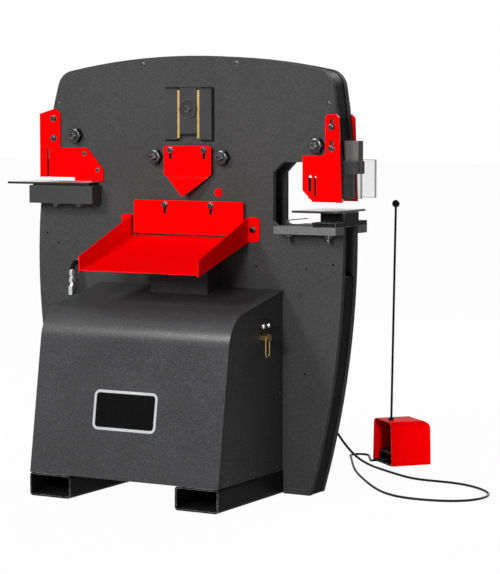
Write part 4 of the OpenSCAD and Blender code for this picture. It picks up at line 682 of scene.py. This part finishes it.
# painted shade: dark strips round each guide bar, level with the plates, for the shade in the gaps round the
# bars and below them
barShade = {"inner": 42.5, "outer": 88.5, "low": 1146, "high": 1312, "side": 6, "above": 5, "below": 6,
          "proud": 0.4, "deep": 2, "gap": 0.1}


def barShadeStrips(low, high):
    # three strips above, below and outside a bar, and the same at the other bar
    inner, outer, far = barShade["inner"], barShade["outer"], barShade["outer"] + barShade["side"]
    spans = [((inner, far), (barShade["high"], barShade["high"] + barShade["above"])),
             ((inner, far), (barShade["low"] - barShade["below"], barShade["low"])),
             ((outer, far), (barShade["low"] + barShade["gap"], barShade["high"] - barShade["gap"]))]
    spans += [((-x[1], -x[0]), z) for x, z in spans]
    return [slab(x, z, low, high) for x, z in spans]


barShadeFrom, barShadeTo = face - barShade["deep"], face + barShade["proud"]
piece("guideBarShade", gather(barShadeStrips(barShadeFrom, barShadeTo) + barShadeStrips(-barShadeTo, -barShadeFrom)),
      "rubber_black", "frame")

# painted shadow: a dark strip under each slide block, which travels with it
slideShadow = {"x": (-33, 33), "z": (1160.5, 1166), "from": 55, "to": 62.5}
piece("slideShadowStrips", gather(slabPair(slideShadow["x"], slideShadow["z"], slideShadow["from"], slideShadow["to"])), "rubber_black",
      "ram")

# welds round the fork tubes behind the rear plate
weld = {"radius": 4.5, "ripple": 0.5, "step": 6.0, "low": 195, "wide": 156, "high": 76, "corner": 11,
        "cornerRows": 9, "rowStep": 1.0, "off": 0.5, "sides": 10}


def weldBead(sign):
    # up one side of a tube, over its rounded top and down; the radius dips where a sine passes zero
    w = weld
    angle = np.linspace(0, math.pi / 2, w["cornerRows"])
    left = np.stack([w["low"] + w["corner"] * (1 - np.cos(angle)),
                     w["high"] - w["corner"] * (1 - np.sin(angle))], -1)
    right = np.stack([2 * w["low"] + w["wide"] - left[::-1, 0], left[::-1, 1]], -1)
    corners = np.vstack([[(w["low"], w["radius"])], left, right, [(w["low"] + w["wide"], w["radius"])]])
    run = alongPath(corners)
    s = np.arange(0, run[-1], w["rowStep"])
    path = np.stack([sign * np.interp(s, run, corners[:, 0]), 0 * s + face + w["off"],
                     np.interp(s, run, corners[:, 1])], -1)
    ripple = np.abs(np.sin(math.pi * s / w["step"]))
    return swept(path, w["radius"] - w["ripple"] * (1 - ripple), w["sides"], (0, 1, 0))


piece("tubeWelds", gather([weldBead(1), weldBead(-1)]), "plate_grey", "frame", crease=80)

# ribs across the treadle, in the treadle's own slope
treadle = {"pin": (30, 34), "rise": math.radians(8), "first": 6, "last": 84, "pitch": 8, "high": 1.6,
           "half": 50, "top": 10, "step": 0.5, "steep": 1.6, "shift": 0.4, "sink": 0.5}


def treadleRibs():
    # outline along the treadle: a trapezium wave above, flat below; two rows of it, one at each side
    x = np.arange(treadle["first"], treadle["last"] + treadle["step"], treadle["step"])
    phase = 2 * math.pi * (x - treadle["first"]) / treadle["pitch"] + math.pi
    wave = np.clip(treadle["steep"] * np.cos(phase) + treadle["shift"], -1, 1)
    z = treadle["top"] + treadle["high"] * (0.5 + 0.5 * wave)
    u = np.concatenate([x, x[::-1]])
    v = np.concatenate([z, 0 * z + treadle["top"] - treadle["sink"]])
    c, s = math.cos(treadle["rise"]), math.sin(treadle["rise"])
    along, level = treadle["pin"][0] + u * c - v * s, treadle["pin"][1] + u * s + v * c
    c, s = math.cos(pedal["turn"]), math.sin(pedal["turn"])
    rows = [np.stack([pedal["at"][0] + along * c - y * s, pedal["at"][1] + along * s + y * c, level], -1)
            for y in (-treadle["half"], treadle["half"])]
    return rings(np.array(rows))


piece("treadleRibs", treadleRibs(), "rubber_black", "treadle", crease=20)

# strain relief where the cord enters the pedal: a taper with ribs, along the cord's own path
relief = {"length": 34, "tip": 5.0, "root": 9.0, "rib": 0.8, "pitch": 5.0, "steep": 3, "plain": 5, "rows": 70,
          "sides": 24}
cordBack = cordFine[::-1]
fromEnd = alongPath(cordBack)
s = np.linspace(0, relief["length"], relief["rows"])
reliefPath = np.stack([np.interp(s, fromEnd, cordBack[:, k]) for k in range(3)], -1)
taper = relief["root"] + (relief["tip"] - relief["root"]) * s / relief["length"]
groove = np.clip(np.cos(2 * math.pi * s / relief["pitch"]) * relief["steep"], -1, 1) * 0.5 + 0.5
reliefRadius = taper - relief["rib"] * (1 - groove) * (s > relief["plain"])
piece("pedalRelief", swept(reliefPath, reliefRadius, relief["sides"]), "rubber_black", "frame")
print("pedal pieces made")

# bare plate on the cabinet front: a raised rim round a dark field
plate = {"at": (-8, 292), "wide": 236, "high": 128, "corner": 20, "rim": 9, "lean": math.radians(8.9),
         "foot": (-478, 76), "points": 48, "sink": 0.5, "edge": 1.4, "proud": 2.2, "ease": 0.9, "field": 1.0,
         "lap": 0.2}


def plateRow(inset, out):
    # rounded rectangle drawn smaller by inset, standing out from the leaning panel
    turn = (np.arange(plate["points"]) + 0.5) * 2 * math.pi / plate["points"]
    r = plate["corner"] - inset
    u = np.sign(np.cos(turn)) * (plate["wide"] / 2 - plate["corner"]) + r * np.cos(turn)
    v = np.sign(np.sin(turn)) * (plate["high"] / 2 - plate["corner"]) + r * np.sin(turn)
    c, s = math.cos(plate["lean"]), math.sin(plate["lean"])
    z = plate["at"][1] + v * c + out * s
    y = plate["foot"][0] + (plate["at"][1] - plate["foot"][1]) * s / c + v * s - out * c
    return np.stack([plate["at"][0] + u, y, z], -1)


rimRows = [(0, -plate["sink"]), (0, plate["edge"]), (plate["ease"], plate["proud"]),
           (plate["rim"] - plate["ease"], plate["proud"]), (plate["rim"], plate["edge"]),
           (plate["rim"], -plate["sink"])]
fieldRows = [(plate["rim"] - plate["lap"], out) for out in (-plate["sink"], plate["field"])]
piece("frontPlateRim", rings(np.array([plateRow(*row) for row in rimRows]), closed=True), "zinc_steel", "frame")
piece("frontPlateField", rings(np.array([plateRow(*row) for row in fieldRows])), "gloss_black", "frame")
print("front plate made")

# floor, backdrop and light
studio = {"floorHalf": 40, "floorTone": (0.62, 0.62, 0.62, 1), "floorRough": 0.9, "floorWhite": 0.975,
          "world": 0.06}
half = studio["floorHalf"]
floorMesh = bpy.data.meshes.new("floor")
floorMesh.from_pydata([(-half, -half, 0), (half, -half, 0), (half, half, 0), (-half, half, 0)], [],
                      [(0, 1, 2, 3)])
floor = bpy.data.objects.new("floor", floorMesh)
scene.collection.objects.link(floor)


def seenDirectly(tree):
    # 1 on rays from the camera, from a mirror or through glass
    camera, glossy, through = (Sock(tree).make("ShaderNodeLightPath", {}, key) for key in
                               ("Is Camera Ray", "Is Glossy Ray", "Is Transmission Ray"))
    return camera.most(glossy).most(through)


floorFinish = Finish("floorPale", {"Base Color": studio["floorTone"], "Roughness": studio["floorRough"],
                                   "Specular IOR Level": 0.0})
floorTree = floorFinish.tree
white = Sock(floorTree).make("ShaderNodeEmission", {})
floorMix = white.make("ShaderNodeMixShader", {0: seenDirectly(floorTree) * studio["floorWhite"],
                                              1: Sock(floorTree, floorFinish.shader.outputs[0]), 2: white})
floorTree.links.new(floorMix.out, floorTree.nodes["Material Output"].inputs[0])
floorMesh.materials.append(floorFinish.material)

world = bpy.data.worlds.new("studio")
world.use_nodes = True
scene.world = world
worldTree = world.node_tree
plain = worldTree.nodes["Background"]
plain.inputs["Color"].default_value = (1, 1, 1, 1)
worldLight = studio["world"] + seenDirectly(worldTree) * (1 - studio["world"])
worldTree.links.new(worldLight.out, plain.inputs["Strength"])

softBoxes = {"keyLeft": {"place": (-2.4, -5.2, 4.2), "target": (0, -0.1, 0.8), "size": 1.4, "power": 230},
             "keyRight": {"place": (0.9, -6.2, 2.6), "target": (0, -0.2, 0.7), "size": 1.8, "power": 275},
             "back": {"place": (0.5, 5.6, 2.9), "target": (0, 0, 0.8), "size": 2.4, "power": 260}}
pedalLight = {"place": (2.6, -2.0, 1.2), "target": (0.45, 0.7, 0.1), "power": 400, "cone": 10, "blend": 0.6,
              "soft": 0.3}


def lamp(name, kind, look):
    # a lamp at its place, turned so that it shines at its target
    data = bpy.data.lights.new(name, kind)
    data.energy = look["power"]
    thing = bpy.data.objects.new(name, data)
    thing.location = look["place"]
    away = np.array(look["place"]) - np.array(look["target"])
    thing.rotation_euler = (math.atan2(math.hypot(away[0], away[1]), away[2]), 0,
                            math.atan2(away[0], -away[1]))
    scene.collection.objects.link(thing)
    return data


for name, look in softBoxes.items():
    softBox = lamp(name, "AREA", look)
    softBox.shape = "RECTANGLE"
    softBox.size = softBox.size_y = look["size"]
spot = lamp("pedalLight", "SPOT", pedalLight)  # narrow, for the pedal alone
spot.spot_size = math.radians(pedalLight["cone"])
spot.spot_blend = pedalLight["blend"]
spot.shadow_soft_size = pedalLight["soft"]
print("light set")
